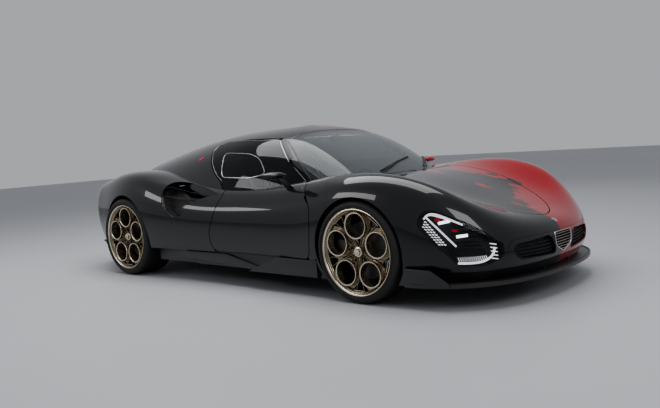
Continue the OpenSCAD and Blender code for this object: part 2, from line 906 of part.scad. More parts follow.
module tyre(tyre_radius, width) {
  half = width / 2;
  color([0.04, 0.04, 0.04])
    ring_about_axle([[rim_radius - 14, -half + 16], [rim_radius + 12, -half + 4], [tyre_radius - 38, -half],
      [tyre_radius - 10, -half + 12], [tyre_radius, -half + 32], [tyre_radius, half - 32],
      [tyre_radius - 10, half - 12], [tyre_radius - 38, half], [rim_radius + 12, half - 4],
      [rim_radius - 14, half - 16]]);
}

module rim(width) {
  half = width / 2;
  face = half - 34;
  color([0.5, 0.42, 0.3])
    difference() {
      union() {
        ring_about_axle([[rim_radius - 14.3, -half + 16], [rim_radius - 14.3, half - 16],
          [rim_radius, half - 8],
          [rim_radius, half - 4], [rim_radius - 22, half - 8], [rim_radius - 30, face - 10],
          [rim_radius - 30, -half + 16]]);
        ring_about_axle([[0, hub_face], [hub_radius, hub_face], [hub_radius, face - 40],
          [rim_radius - 29, face - 34],
          [rim_radius - 29, face], [hub_radius, face - 14], [0, face - 14]]);
        rotate([90, 0, 0])
          translate([0, 0, -hub_face - 1])
            cylinder(r = spindle_radius, h = hub_face + 121);
      }
      for (turn = [0:4])
        rotate([0, turn * 72, 0])
          translate([0, half, 168])
            rotate([90, 0, 0])
              cylinder(r = 72, h = half - hub_face + 20);
    }
}

module brake_disc() {
  color([0.35, 0.33, 0.32])
    ring_about_axle([[spindle_radius + slip, -30], [disc_radius, -30], [disc_radius, 0], [80, 0],
      [80, hub_face - 0.1], [spindle_radius + slip, hub_face - 0.1]]);
}

module knuckle() {
  color([0.5, 0.5, 0.52])
    difference() {
      union() {
        rotate([90, 0, 0])
          translate([0, 0, 34])
            cylinder(r = 55, h = 62);
        translate([0, -kingpin_inset, -arm_height + 20])
          cylinder(r = post_radius, h = 2 * arm_height - 40);
        translate([0, -kingpin_inset, -arm_height - 14])
          cylinder(r = pin_radius, h = 2 * arm_height + 28);
        translate([-disc_radius - 36, -kingpin_inset - 12, -45])
          cube([disc_radius + 36, 24, 90]);
        difference() {
          translate([-disc_radius - 36, -kingpin_inset - 12, -60])
            cube([66, kingpin_inset + 34, 120]);
          rotate([90, 0, 0])
            translate([0, 0, -3])
              cylinder(r = disc_radius + 4, h = 36);
        }
      }
      rotate([90, 0, 0])
        translate([0, 0, -100])
          cylinder(r = spindle_radius + running_fit, h = 221);
    }
}

module wishbone(reach, inner_half) {
  for (level = [-1, 1])
    translate([0, -kingpin_inset, level * (arm_height - 2)])
      difference() {
        union() {
          translate([0, 0, -12])
            cylinder(r = 26, h = 24);
          for (way = [-1, 1])
            linear_extrude(20, center = true)
              polygon([[way * 2, -18], [way * 22, -8], [way * (inner_half + 14), -reach],
                [way * (inner_half - 18), -reach]]);
        }
        translate([0, 0, -20])
          cylinder(r = pin_radius + running_fit, h = 40);
      }
}

front_pin_y = front_outer_face - front_tyre_width / 2 - kingpin_inset;
rear_pin_y = rear_outer_face - rear_tyre_width / 2 - kingpin_inset;

module suspension_arms() {
  color([0.2, 0.2, 0.21])
    for (hand = [-1, 1]) {
      front_corner(hand)
        wishbone(front_pin_y - 500 * stretch[1] - slip, 140);
      rear_corner(hand)
        wishbone(rear_pin_y - 440 * stretch[1] - slip, 150);
    }
}

module wheel_front_right() {
  front_corner(-1)
    rim(front_tyre_width);
}

module wheel_front_left() {
  front_corner(1)
    rim(front_tyre_width);
}

module wheel_rear_right() {
  rear_corner(-1)
    rim(rear_tyre_width);
}

module wheel_rear_left() {
  rear_corner(1)
    rim(rear_tyre_width);
}

module tyre_front_right() {
  front_corner(-1)
    tyre(front_tyre_radius, front_tyre_width);
}

module tyre_front_left() {
  front_corner(1)
    tyre(front_tyre_radius, front_tyre_width);
}

module tyre_rear_right() {
  rear_corner(-1)
    tyre(rear_tyre_radius, rear_tyre_width);
}

module tyre_rear_left() {
  rear_corner(1)
    tyre(rear_tyre_radius, rear_tyre_width);
}

module disc_front_right() {
  front_corner(-1)
    brake_disc();
}

module disc_front_left() {
  front_corner(1)
    brake_disc();
}

module disc_rear_right() {
  rear_corner(-1)
    brake_disc();
}

module disc_rear_left() {
  rear_corner(1)
    brake_disc();
}

module knuckle_front_right() {
  front_corner(-1)
    knuckle();
}

module knuckle_front_left() {
  front_corner(1)
    knuckle();
}

module knuckle_rear_right() {
  rear_corner(-1)
    knuckle();
}

module knuckle_rear_left() {
  rear_corner(1)
    knuckle();
}

// ---- Cabin and engine ----
module seats() {
  color([0.1, 0.07, 0.06])
    both_sides()
      across_plain(seat_outline, seat_offset - seat_width / 2, seat_offset + seat_width / 2);
}

module dashboard() {
  color([0.07, 0.07, 0.07])
    difference() {
      across_plain(dash_outline, -640, 640);
      translate(at(wheel_middle))
        rotate([0, wheel_tilt, 0])
          cylinder(r = column_radius + running_fit, h = 240);
    }
}

module steering_wheel() {
  color([0.05, 0.05, 0.05])
    translate(at(wheel_middle))
      rotate([0, wheel_tilt, 0]) {
        rotate_extrude($fn = 72)
          translate([steering_wheel_radius - 14, 0])
            circle(r = 14, $fn = 24);
        translate([0, 0, -12])
          cylinder(r = 38, h = 34);
        for (turn = [90, 180, 270])
          rotate([0, 0, turn])
            translate([20, -12, 6])
              cube([steering_wheel_radius - 30, 24, 10]);
        cylinder(r = column_radius, h = 220);
      }
}

module engine_block() {
  color([0.3, 0.3, 0.31])
    box([-1180, -300, 215.3], [-620, 300, 640]);
}

tub();
front_frame();
rear_frame();
jacking_pads();
roof();
windshield();
cowl();
hood();
front_fender_right();
front_fender_left();
front_bumper();
grille();
headlights();
splitter();
side_skirts();
rear_fender_right();
rear_fender_left();
side_intakes();
rear_bumper();
engine_cover();
rear_glass();
hinges();
diffuser();
exhaust();
tail_lights();
door_right();
door_left();
door_glass_right();
door_glass_left();
mirror_right();
mirror_left();
front_arch_liners();
rear_arch_liners();
suspension_arms();
knuckle_front_right();
knuckle_front_left();
knuckle_rear_right();
knuckle_rear_left();
wheel_front_right();
wheel_front_left();
wheel_rear_right();
wheel_rear_left();
tyre_front_right();
tyre_front_left();
tyre_rear_right();
tyre_rear_left();
disc_front_right();
disc_front_left();
disc_rear_right();
disc_rear_left();
seats();
dashboard();
steering_wheel();
engine_block();
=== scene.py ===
"""Bodywork, glass, lamps, cabin and running gear of a mid-engined coupe, built around its CAD frame."""
import math

import bmesh
import bpy
import numpy as np
from mathutils import Euler, Matrix, Vector
from mathutils.bvhtree import BVHTree


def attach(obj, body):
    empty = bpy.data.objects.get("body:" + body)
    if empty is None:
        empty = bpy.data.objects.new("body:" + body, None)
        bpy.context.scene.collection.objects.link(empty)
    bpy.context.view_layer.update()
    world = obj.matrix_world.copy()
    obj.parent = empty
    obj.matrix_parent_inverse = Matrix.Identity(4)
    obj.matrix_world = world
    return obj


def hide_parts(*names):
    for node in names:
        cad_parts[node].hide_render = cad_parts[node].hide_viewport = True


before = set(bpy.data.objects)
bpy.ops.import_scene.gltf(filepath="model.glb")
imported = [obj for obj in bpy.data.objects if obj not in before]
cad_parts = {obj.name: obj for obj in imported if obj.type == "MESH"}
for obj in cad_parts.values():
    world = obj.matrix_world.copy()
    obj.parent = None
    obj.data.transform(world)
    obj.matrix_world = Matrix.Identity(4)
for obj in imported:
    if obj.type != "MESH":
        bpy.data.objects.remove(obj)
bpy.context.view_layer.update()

# Sizes are in millimetres, as in the CAD. MM turns them into metres.
MM = 0.001
BODY_LENGTH = 4637
BODY_WIDTH = 1966
BODY_DEPTH = 700
CABIN_REACH = (1400, 790, 630)
PANEL = 25
GLASS = 10
DOOR = 110
DOOR_INSET = 50
UNDER_PANEL = 41
FIT = 0.6
SHUT = 6
LID_GAP = 14
OUTER = 1100
HINGE_LOW = Vector((845, 890, 690))
HINGE_HIGH = Vector((407, 600, 1010))
AXLE_FRONT = Vector((1310, 0, 340))
AXLE_REAR = Vector((-1390, 0, 345))
ARCH_FRONT = 362
ARCH_REAR = 375
SPLITTER_WELL = 380
TAIL_LAMP_HEIGHT = 560
TAIL_LAMPS = ((455, -2238, "inner"), (625, -2205, "outer"))
EXHAUST_TIP = (-2298, 95, 330)
SPLITTER_CORNER = (1600, 944)
SEAT_MIDDLE = 350.0
SEAT_HALF = 238.0
BOLSTER_OFFSET = 188
CHANNEL_PITCH = 62
SHELL_BASE = 100
CABIN_MIDDLE = np.array([-300.0, 0.0, 600.0])
CUT = "DIFFERENCE"
WITHIN = "INTERSECT"
ADD = "UNION"


# ---- Materials ----
class Value:
    """A shader socket that takes part in sums: each operator adds the Math node that it stands for."""

    def __init__(self, finish, socket):
        self.finish = finish
        self.socket = socket

    def math(self, operation, *others):
        return self.finish.node("Math", {"operation": operation},
                                {i: v for i, v in enumerate((self, *others))})

    def __add__(self, other):
        return self.math("ADD", other)

    def __sub__(self, other):
        return self.math("SUBTRACT", other)

    def __rsub__(self, other):
        return self.finish.node("Math", {"operation": "SUBTRACT"}, {0: other, 1: self})

    def __mul__(self, other):
        return self.math("MULTIPLY", other)

    def __truediv__(self, other):
        return self.math("DIVIDE", other)

    __radd__ = __add__
    __rmul__ = __mul__


class Finish:
    """A material with one Principled shader and the nodes that feed it."""

    def __init__(self, name, **fixed):
        self.material = bpy.data.materials.new(name)
        self.material.use_nodes = True
        self.tree = self.material.node_tree
        self.shader = self.tree.nodes["Principled BSDF"]
        for label, value in fixed.items():
            self.set(label.replace("_", " ").title().replace("Ior", "IOR"), value)
        self.place = self.node("TexCoord", {}, {}, "Object")

    def set(self, label, value):
        self.connect(self.shader.inputs[label], value)

    def connect(self, socket, value):
        if isinstance(value, Value):
            self.tree.links.new(value.socket, socket)
        elif isinstance(value, (tuple, list)) and socket.type == "RGBA" and len(value) == 3:
            socket.default_value = (*value, 1)
        else:
            socket.default_value = value

    def node(self, kind, settings, inputs, output=0):
        made = self.tree.nodes.new("ShaderNode" + kind)
        for name, value in settings.items():
            setattr(made, name, value)
        for key, value in inputs.items():
            self.connect(made.inputs[key], value)
        return Value(self, made.outputs[output])

    def axis(self, letter):
        return self.node("SeparateXYZ", {}, {0: self.place}, letter)

    def stretched(self, x, y, z):
        return self.node("Mapping", {}, {"Vector": self.place, "Scale": (x, y, z)})

    def noise(self, scale, detail=3, vector=None, rough=0.5):
        return self.node("TexNoise", {}, {"Vector": vector or self.place, "Scale": scale, "Detail": detail,
                                          "Roughness": rough}, "Fac")

    def cells(self, scale):
        return self.node("TexVoronoi", {}, {"Vector": self.place, "Scale": scale}, "Distance")

    def between(self, share, low, high):
        """Low where share is 0 and high where it is 1, as colours."""
        return self.node("Mix", {"data_type": "RGBA"}, {0: share, 6: low, 7: high}, 2)

    def step(self, value, low, high):
        """0 below low, 1 above high, and smooth between."""
        return self.node("MapRange", {"interpolation_type": "SMOOTHSTEP"},
                         {0: value, 1: low, 2: high, 3: 0.0, 4: 1.0})

    def range(self, value, low, high):
        return self.node("MapRange", {}, {0: value, 1: 0.0, 2: 1.0, 3: low, 4: high})

    def bump(self, height, strength=0.3, distance=0.001):
        normal = self.node("Bump", {}, {"Height": height, "Strength": strength, "Distance": distance})
        self.set("Normal", normal)
        return self


def weave(finish, pitch):
    """A two-by-two twill of fibre tows, from 0 to 1, as seen from above and from the side."""
    x = finish.axis("X")
    y = finish.axis("Y") + finish.axis("Z")
    steps = (x + y) / pitch
    across = (x - y) / pitch
    tow = finish.node("Math", {"operation": "PINGPONG"}, {0: steps, 1: 1.0})
    other = finish.node("Math", {"operation": "PINGPONG"}, {0: across, 1: 1.0})
    return (tow * 0.6 + (1 - other) * 0.4)


CARBON_DEEP = (0.003, 0.003, 0.0035)
CARBON_BRIGHT = (0.012, 0.012, 0.013)
LACQUER_RED = (0.27, 0.0006, 0.004)
LACQUER_SHADE = (LACQUER_RED[0] * 0.55, LACQUER_RED[1], LACQUER_RED[2])


def paint(name, mask=None):
    """Clear-coated carbon, with red lacquer over it where mask, a function of the finish, says so."""
    finish = Finish(name, specular_ior_level=0.12, coat_weight=1.0, coat_roughness=0.02, coat_ior=1.5)
    cloth = weave(finish, 0.006)
    flakes = finish.cells(900)
    dark = finish.between(cloth * 0.7 + flakes * 0.2, CARBON_DEEP, CARBON_BRIGHT)
    if mask is None:
        finish.set("Base Color", dark)
    else:
        share = mask(finish)
        lacquer = finish.between(flakes * 0.5, LACQUER_RED, LACQUER_SHADE)
        finish.set("Base Color", finish.between(share, dark, lacquer))
    finish.set("Roughness", finish.range(finish.noise(60), 0.27, 0.36))
    finish.bump(finish.noise(7, 2), 0.03, 0.004)
    return finish.material


def drift(finish):
    """Red lacquer over the left of the nose and the left wing, and in patches over the bonnet."""
    x = finish.axis("X")
    y = finish.axis("Y")
    coarse = finish.noise(1.0, 2, finish.stretched(3.0, 5.4, 1.0), 0.45) - 0.5
    fine = finish.noise(1.0, 3, finish.stretched(8.0, 15.0, 3.0), 0.5) - 0.5
    bonnet = finish.step(x, 2.08, 1.82)
    edge = finish.step(x, 2.12, 1.50) * 0.40 - 0.03
    patches = (coarse * 3.3 + fine * 1.2 + 0.08) * bonnet * finish.step(y, -0.42, -0.12)
    wing = finish.step(y, 0.46, 0.52)
    front = finish.step(x, 1.10, 1.24) + wing - finish.step(x, 1.10, 1.24) * wing
    value = y - edge + patches * (1 - wing) + wing * 0.6
    return finish.step(value, -0.008, 0.008) * front * finish.step(x, 0.60, 0.66)


def roof_patch(finish):
    x = finish.axis("X")
    y = finish.axis("Y")
    blotch = finish.noise(1.0, 3, finish.stretched(3.2, 5.2, 1.0)) - 0.5
    middle = finish.step(x, -0.70, -0.30) * finish.step(x, 0.42, 0.20)
    sides = finish.step(y, 0.42, 0.34) * finish.step(y, -0.22, -0.10)
    return finish.step(y * 0.5 + blotch * 1.4 - 0.02, 0.03, 0.05) * middle * sides * 0.85


def left_side_fade(finish):
    """Red at the left front wheel that breaks up along the front of the left door."""
    x = finish.axis("X")
    blotch = finish.noise(1.0, 3, finish.stretched(3.0, 3.0, 6.0)) - 0.5
    return finish.step(x - 0.62 + blotch * 0.7, 0.0, 0.03)


def plain(name, colour, roughness, metallic=0.0, grain=180, depth=0.15, spread=0.25, coat=0.0):
    """One colour with grain in its shade, roughness and surface."""
    finish = Finish(name, metallic=metallic, coat_weight=coat, coat_roughness=0.1)
    pattern = finish.noise(grain, 4)
    shade = tuple(c * (1 - spread) for c in colour)
    finish.set("Base Color", finish.between(pattern, shade, colour))
    finish.set("Roughness", finish.range(finish.noise(grain / 6, 3), roughness * 0.8, roughness * 1.2))
    return finish.bump(pattern, depth, 0.0004).material


def composite():
    """Bare satin composite with its weave showing."""
    finish = Finish("bare_composite", coat_weight=0.25, coat_roughness=0.25)
    cloth = weave(finish, 0.008)
    finish.set("Base Color", finish.between(cloth, (0.010, 0.010, 0.011), (0.035, 0.035, 0.037)))
    finish.set("Roughness", finish.range(cloth, 0.42, 0.3))
    return finish.bump(cloth, 0.15, 0.0003).material


def glazing(name, tint, clear, film_and_sheen=(0.004, 0.0045, 0.005)):
    """Thin glass: what is behind it shows through, and the sky is mirrored more towards its edges."""
    # film_and_sheen is the dark base of the glass; where it is set lighter it paints a sheen.
    finish = Finish(name, base_color=(*film_and_sheen, 1), coat_weight=1.0, coat_roughness=0.01)
    facing = finish.node("LayerWeight", {}, {"Blend": 0.22}, "Facing")
    haze = finish.noise(25)
    finish.set("Roughness", finish.range(haze, 0.01, 0.03))
    through = finish.tree.nodes.new("ShaderNodeBsdfTransparent")
    through.inputs[0].default_value = (*tint, 1)
    mix = finish.tree.nodes.new("ShaderNodeMixShader")
    share = (1 - clear) + facing * clear * 0.75 + haze * 0.02
    finish.connect(mix.inputs[0], share)
    finish.tree.links.new(through.outputs[0], mix.inputs[1])
    finish.tree.links.new(finish.shader.outputs[0], mix.inputs[2])
    finish.tree.links.new(mix.outputs[0], finish.tree.nodes["Material Output"].inputs["Surface"])
    return finish.material


def lit(name, colour, strength):
    finish = Finish(name, base_color=(*colour, 1), roughness=0.3, emission_strength=strength)
    glow = finish.noise(140, 2)
    finish.set("Emission Color", finish.between(glow, tuple(0.8 * c for c in colour), colour))
    return finish.material


def rubber():
    finish = Finish("tyre_rubber")
    scuff = finish.noise(40, 4)
    finish.set("Base Color", finish.between(scuff, (0.011, 0.011, 0.012), (0.026, 0.025, 0.025)))
    finish.set("Roughness", finish.range(finish.noise(15, 3), 0.55, 0.8))
    return finish.bump(finish.noise(900, 2), 0.2, 0.0004).material


def bronze(name, deep, bright):
    """Satin champagne alloy, machined, with brake dust in random blotches; given darker colours it paints
    shade.
    """
    finish = Finish(name, metallic=1.0)
    dust = finish.noise(9, 3)
    finish.set("Base Color", finish.between(dust, deep, bright))
    finish.set("Roughness", finish.range(finish.noise(60, 3), 0.2, 0.32))
    return finish.bump(finish.noise(900, 2), 0.05, 0.0002).material


def leather(name, colour):
    finish = Finish(name)
    pores = finish.cells(420)
    wear = finish.noise(12, 4)
    finish.set("Base Color", finish.between(wear, tuple(c * 0.65 for c in colour), colour))
    finish.set("Roughness", finish.range(wear, 0.42, 0.62))
    return finish.bump(pores + finish.noise(90, 3) * 0.5, 0.35, 0.0009).material


def grille_mesh():
    """Open-cell black mesh, as pits in a dark sheet, with the open cells painted near-black as painted
    shade.
    """
    finish = Finish("intake_mesh", specular_ior_level=0.25)
    holes = finish.cells(95)
    wire = finish.step(holes, 0.28, 0.42)
    # The cells are near-black: painted shade seen through the openings of the black mesh.
    finish.set("Base Color", finish.between(wire, (0.001, 0.001, 0.001), (0.018, 0.018, 0.019)))
    finish.set("Roughness", finish.range(wire, 0.9, 0.45))
    return finish.bump(wire, 0.8, 0.003).material


def brushed(name, colour, roughness, stretch=(20, 20, 900)):
    finish = Finish(name, metallic=1.0)
    lines = finish.noise(1.0, 2, finish.stretched(*stretch))
    finish.set("Base Color", finish.between(lines, tuple(c * 0.75 for c in colour), colour))
    finish.set("Roughness", finish.range(lines, roughness * 0.75, roughness * 1.3))
    return finish.bump(lines, 0.08, 0.0003).material


def disc_face():
    """A cross-drilled friction ring: pits painted near-black as painted shade in the drilled holes, on worn
    ceramic.
    """
    finish = Finish("brake_ceramic", metallic=0.35)
    holes = finish.cells(62)
    pits = finish.step(holes, 0.16, 0.22)
    wear = finish.noise(18, 4)
    worn = finish.between(wear, (0.05, 0.048, 0.047), (0.13, 0.125, 0.12))
    # Near-black in the drilled pits is painted shade.
    finish.set("Base Color", finish.between(pits, (0.004, 0.004, 0.004), worn))
    finish.set("Roughness", finish.range(wear, 0.3, 0.5))
    return finish.bump(pits, 0.6, 0.002).material


BLACK = paint("black_lacquer")
HOOD_PAINT = paint("bonnet_lacquer", drift)
ROOF_PAINT = paint("roof_lacquer", roof_patch)
DOOR_FADE = paint("left_door_lacquer", left_side_fade)
RED = paint("red_lacquer", lambda finish: finish.step(finish.axis("X"), -9.0, -8.0))
COMPOSITE = composite()
SATIN = plain("satin_black", (0.018, 0.018, 0.019), 0.38, depth=0.08)
PLASTIC = plain("moulded_black", (0.013, 0.013, 0.014), 0.6)
FELT = plain("liner_felt", (0.02, 0.02, 0.02), 0.95, grain=320, depth=0.6)
# The screen's grey film, much lighter than the other panes' near-black, is a painted sheen over the whole
# windscreen.
SCREEN = glazing("screen_glass", (0.80, 0.83, 0.84), 0.80, (0.16, 0.17, 0.18))
SIDE_GLASS = glazing("side_glass", (0.58, 0.60, 0.62), 0.80)
REAR_GLASS = glazing("rear_glass_tint", (0.30, 0.32, 0.34), 0.72)
LAMP_COVER = glazing("lamp_cover", (0.94, 0.95, 0.96), 0.95)
WHITE_LIGHT = lit("white_light", (1.0, 1.0, 1.0), 2.2)
STRIP_LIGHT = lit("strip_light", (0.92, 0.93, 0.96), 0.75)
RED_LIGHT = lit("tail_light", (0.75, 0.012, 0.015), 0.35)
# Glowing red for the headlamp accents and the pillar badge; the badge is no lamp, so its glow is painted
# light.
RED_ACCENT = lit("red_accent", (0.55, 0.01, 0.03), 0.25)
CHAMPAGNE = bronze("champagne_alloy", (0.60, 0.53, 0.42), (0.74, 0.67, 0.55))
# Darker copy of the champagne alloy for the wheel barrel, web and ribs: painted shade on the parts sunk
# behind the rings.
SHADED_BRONZE = bronze("shaded_barrel_alloy", (0.22, 0.18, 0.125), (0.36, 0.31, 0.23))
RUBBER = rubber()
MESH = grille_mesh()
BRIGHT = brushed("bright_trim", (0.62, 0.62, 0.64), 0.22)
SLAT = brushed("grille_slat", (0.60, 0.57, 0.50), 0.25, (12, 300, 300))
STEEL = brushed("bright_steel", (0.42, 0.42, 0.44), 0.35)
CAST = plain("cast_alloy", (0.30, 0.30, 0.32), 0.42, 0.9, 220, 0.3)
TIP = brushed("exhaust_tip", (0.30, 0.29, 0.30), 0.22)
CERAMIC = disc_face()
HIDE = leather("seat_hide", (0.085, 0.030, 0.020))
HIDE_DARK = leather("dark_hide", (0.022, 0.020, 0.020))
WEBBING = plain("harness_webbing", (0.42, 0.40, 0.39), 0.8, grain=500, depth=0.5)
CALIPER = plain("caliper_lacquer", (0.045, 0.045, 0.048), 0.3, depth=0.05, coat=0.6)
FLOOR = plain("floor_render", (0.40, 0.41, 0.43), 0.5, grain=2.0, depth=0.0, spread=0.04)
CARPET = plain("cabin_carpet", (0.016, 0.015, 0.015), 0.95, grain=400, depth=0.8)


# ---- Meshes ----
def in_scene(name, mesh):
    """An object for the mesh, linked to the scene."""
    piece = bpy.data.objects.new(name, mesh)
    bpy.context.scene.collection.objects.link(piece)
    return piece


def cleaned(piece, merge=False, split_caps=False):
    """The piece with its faces turned outwards, doubled points merged or caps cut into triangles."""
    work = bmesh.new()
    work.from_mesh(piece.data)
    if merge:
        bmesh.ops.remove_doubles(work, verts=work.verts, dist=1e-6)
    if split_caps:
        bmesh.ops.triangulate(work, faces=[f for f in work.faces if len(f.verts) > 4])
    bmesh.ops.recalc_face_normals(work, faces=work.faces)
    work.to_mesh(piece.data)
    work.free()
    return piece


def applied(piece):
    """The piece with its modifiers turned into its own mesh."""
    graph = bpy.context.evaluated_depsgraph_get()
    mesh = bpy.data.meshes.new_from_object(piece.evaluated_get(graph))
    piece.modifiers.clear()
    piece.data = mesh
    return piece


def new_piece(name, points, faces, material=None, smooth=None):
    """An object from points in millimetres. Smooth is the sharpest edge, in degrees, shaded round."""
    mesh = bpy.data.meshes.new(name)
    mesh.from_pydata((np.asarray(points, float) * MM).tolist(), [], faces)
    mesh.validate()
    piece = in_scene(name, mesh)
    if material:
        mesh.materials.append(material)
    if smooth:
        shade(piece, smooth)
    return piece


def shade(piece, angle):
    mesh = piece.data
    mesh.shade_smooth()
    edges = bmesh.new()
    edges.from_mesh(mesh)
    for edge in edges.edges:
        edge.smooth = len(edge.link_faces) == 2 and edge.calc_face_angle(0) < math.radians(angle)
    edges.to_mesh(mesh)
    edges.free()
    return piece


def rename(piece, name):
    piece.name = name
    piece.data.name = name
    return piece


def finish_piece(piece, body, material, replaces=(), slot=None):
    """Gives the piece its material, its body and what it stands for."""
    piece.data.materials.clear()
    piece.data.materials.append(material)
    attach(piece, body)
    if replaces:
        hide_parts(*replaces)
    return piece


def mirrored(piece, name):
    """The same piece on the other side of the car."""
    mesh = piece.data.copy()
    mesh.name = name
    twin = in_scene(name, mesh)
    normals = np.zeros(len(mesh.loops) * 3, np.float32)
    mesh.corner_normals.foreach_get("vector", normals)
    owner = loop_vertices(mesh)
    flip = {}
    starts = loop_starts(mesh)
    for start, total in starts:
        flip[start] = [(owner[i], tuple(normals[3 * i:3 * i + 3])) for i in range(start, start + total)]
    custom = mesh.has_custom_normals
    mesh.transform(Matrix.Diagonal((1, -1, 1, 1)))
    mesh.flip_normals()
    if custom:
        owner = loop_vertices(mesh)
        turned = [(0, 0, 1)] * len(mesh.loops)
        for start, total in starts:
            known = dict(flip[start])
            for i in range(start, start + total):
                x, y, z = known[owner[i]]
                turned[i] = (x, -y, z)
        mesh.normals_split_custom_set(turned)
    return twin


def loop_vertices(mesh):
    owner = np.zeros(len(mesh.loops), np.int32)
    mesh.loops.foreach_get("vertex_index", owner)
    return owner


def loop_starts(mesh):
    first = np.zeros(len(mesh.polygons), np.int32)
    total = np.zeros(len(mesh.polygons), np.int32)
    mesh.polygons.foreach_get("loop_start", first)
    mesh.polygons.foreach_get("loop_total", total)
    return list(zip(first.tolist(), total.tolist()))


def combine(name, base, *steps, keep=False):
    """Base changed by each (operation, object) in turn. Cutters stay, and base goes unless kept."""
    work = in_scene(name, base.data)
    for operation, other in steps:
        tool = work.modifiers.new(operation, "BOOLEAN")
        tool.operation = operation
        tool.solver = "MANIFOLD"
        tool.object = cutter(other)
    applied(work).data.name = name
    work.data.materials.clear()
    if not keep:
        discard(base)
    return work


CUTTERS = []


def cutter(piece):
    if piece not in CUTTERS:
        CUTTERS.append(piece)
    return piece


def discard(piece):
    if piece in CUTTERS:
        return
    bpy.data.objects.remove(piece)


# ---- Outlines ----
def grown(outline, distance):
    """The outline moved outwards by distance, with its corners kept sharp."""
    points = np.array(outline, float)
    if distance == 0:
        return points
    before = np.roll(points, 1, 0)
    area = np.sum(before[:, 0] * points[:, 1] - points[:, 0] * before[:, 1])
    edges = np.roll(points, -1, 0) - points
    lengths = np.linalg.norm(edges, axis=1)[:, None]
    normals = np.stack([edges[:, 1], -edges[:, 0]], 1) / lengths * (1 if area > 0 else -1)
    out = []
    for i in range(len(points)):
        a, b = normals[i - 1], normals[i]
        out.append(points[i] + (a + b) * distance / max(0.2, 1 + float(a @ b)))
    return np.array(out)


def softened(outline, reach=30.0, steps=4, closed=True):
    """The outline with each corner rounded over reach, or less where an edge is short."""
    points = np.array(outline, float)
    out = []
    count = len(points)
    for i, p in enumerate(points):
        if not closed and i in (0, count - 1):
            out.append(p)
            continue
        ends = []
        for q in (points[i - 1], points[(i + 1) % count]):
            length = np.linalg.norm(q - p)
            ends.append(p + (q - p) * min(0.48, reach / max(length, 1e-6)))
        for k in range(steps + 1):
            t = k / steps
            out.append((1 - t) ** 2 * ends[0] + 2 * t * (1 - t) * p + t * t * ends[1])
    return np.array(out)


def prism(outline, low, high, place):
    """A solid between two copies of an outline. Place turns (u, v, along) into a point."""
    count = len(outline)
    points = [place(u, v, w) for w in (low, high) for u, v in outline]
    faces = [(i, (i + 1) % count, count + (i + 1) % count, count + i) for i in range(count)]
    faces += [tuple(range(count))[::-1], tuple(range(count, 2 * count))]
    return cutter(cleaned(new_piece("prism", points, faces), split_caps=True))


def from_side(u, v, w):
    return u, w, v


def from_above(u, v, w):
    return u, v, w


def from_front(u, v, w):
    return w, u, v


def across(outline, low, high, grow=0.0, reach=30.0):
    return prism(softened(grown(outline, grow), reach), low, high, from_side)


def upward(plan, low, high, grow=0.0, reach=60.0):
    whole = list(plan) + [(x, -y) for x, y in reversed(plan) if y > 0]
    return prism(softened(grown(whole, grow), reach), low, high, from_above)


def lengthwise(outline, low, high, grow=0.0, reach=25.0):
    return prism(softened(grown(outline, grow), reach), low, high, from_front)


def block(low, high):
    return prism([(low[0], low[1]), (high[0], low[1]), (high[0], high[1]), (low[0], high[1])], low[2],
                 high[2],
                 from_above)


def drum(centre, radius, low, high):
    """A cylinder that lies across the car, about the axle at centre."""
    sides = 96
    ring = []
    for k in range(sides):
        angle = 2 * math.pi * k / sides
        ring.append((centre[0] + radius * math.cos(angle), centre[2] + radius * math.sin(angle)))
    return prism(ring, low, high, from_side)


def hinge_rod(radius, low, high):
    """A solid about the left door's hinge line, from low to high along it."""
    way = (HINGE_HIGH - HINGE_LOW).normalized()
    turn = way.to_track_quat("Z", "Y").to_matrix()
    return prism(circle(radius, 32), low, high, lambda u, v, w: tuple(HINGE_LOW + turn @ Vector((u, v, w))))


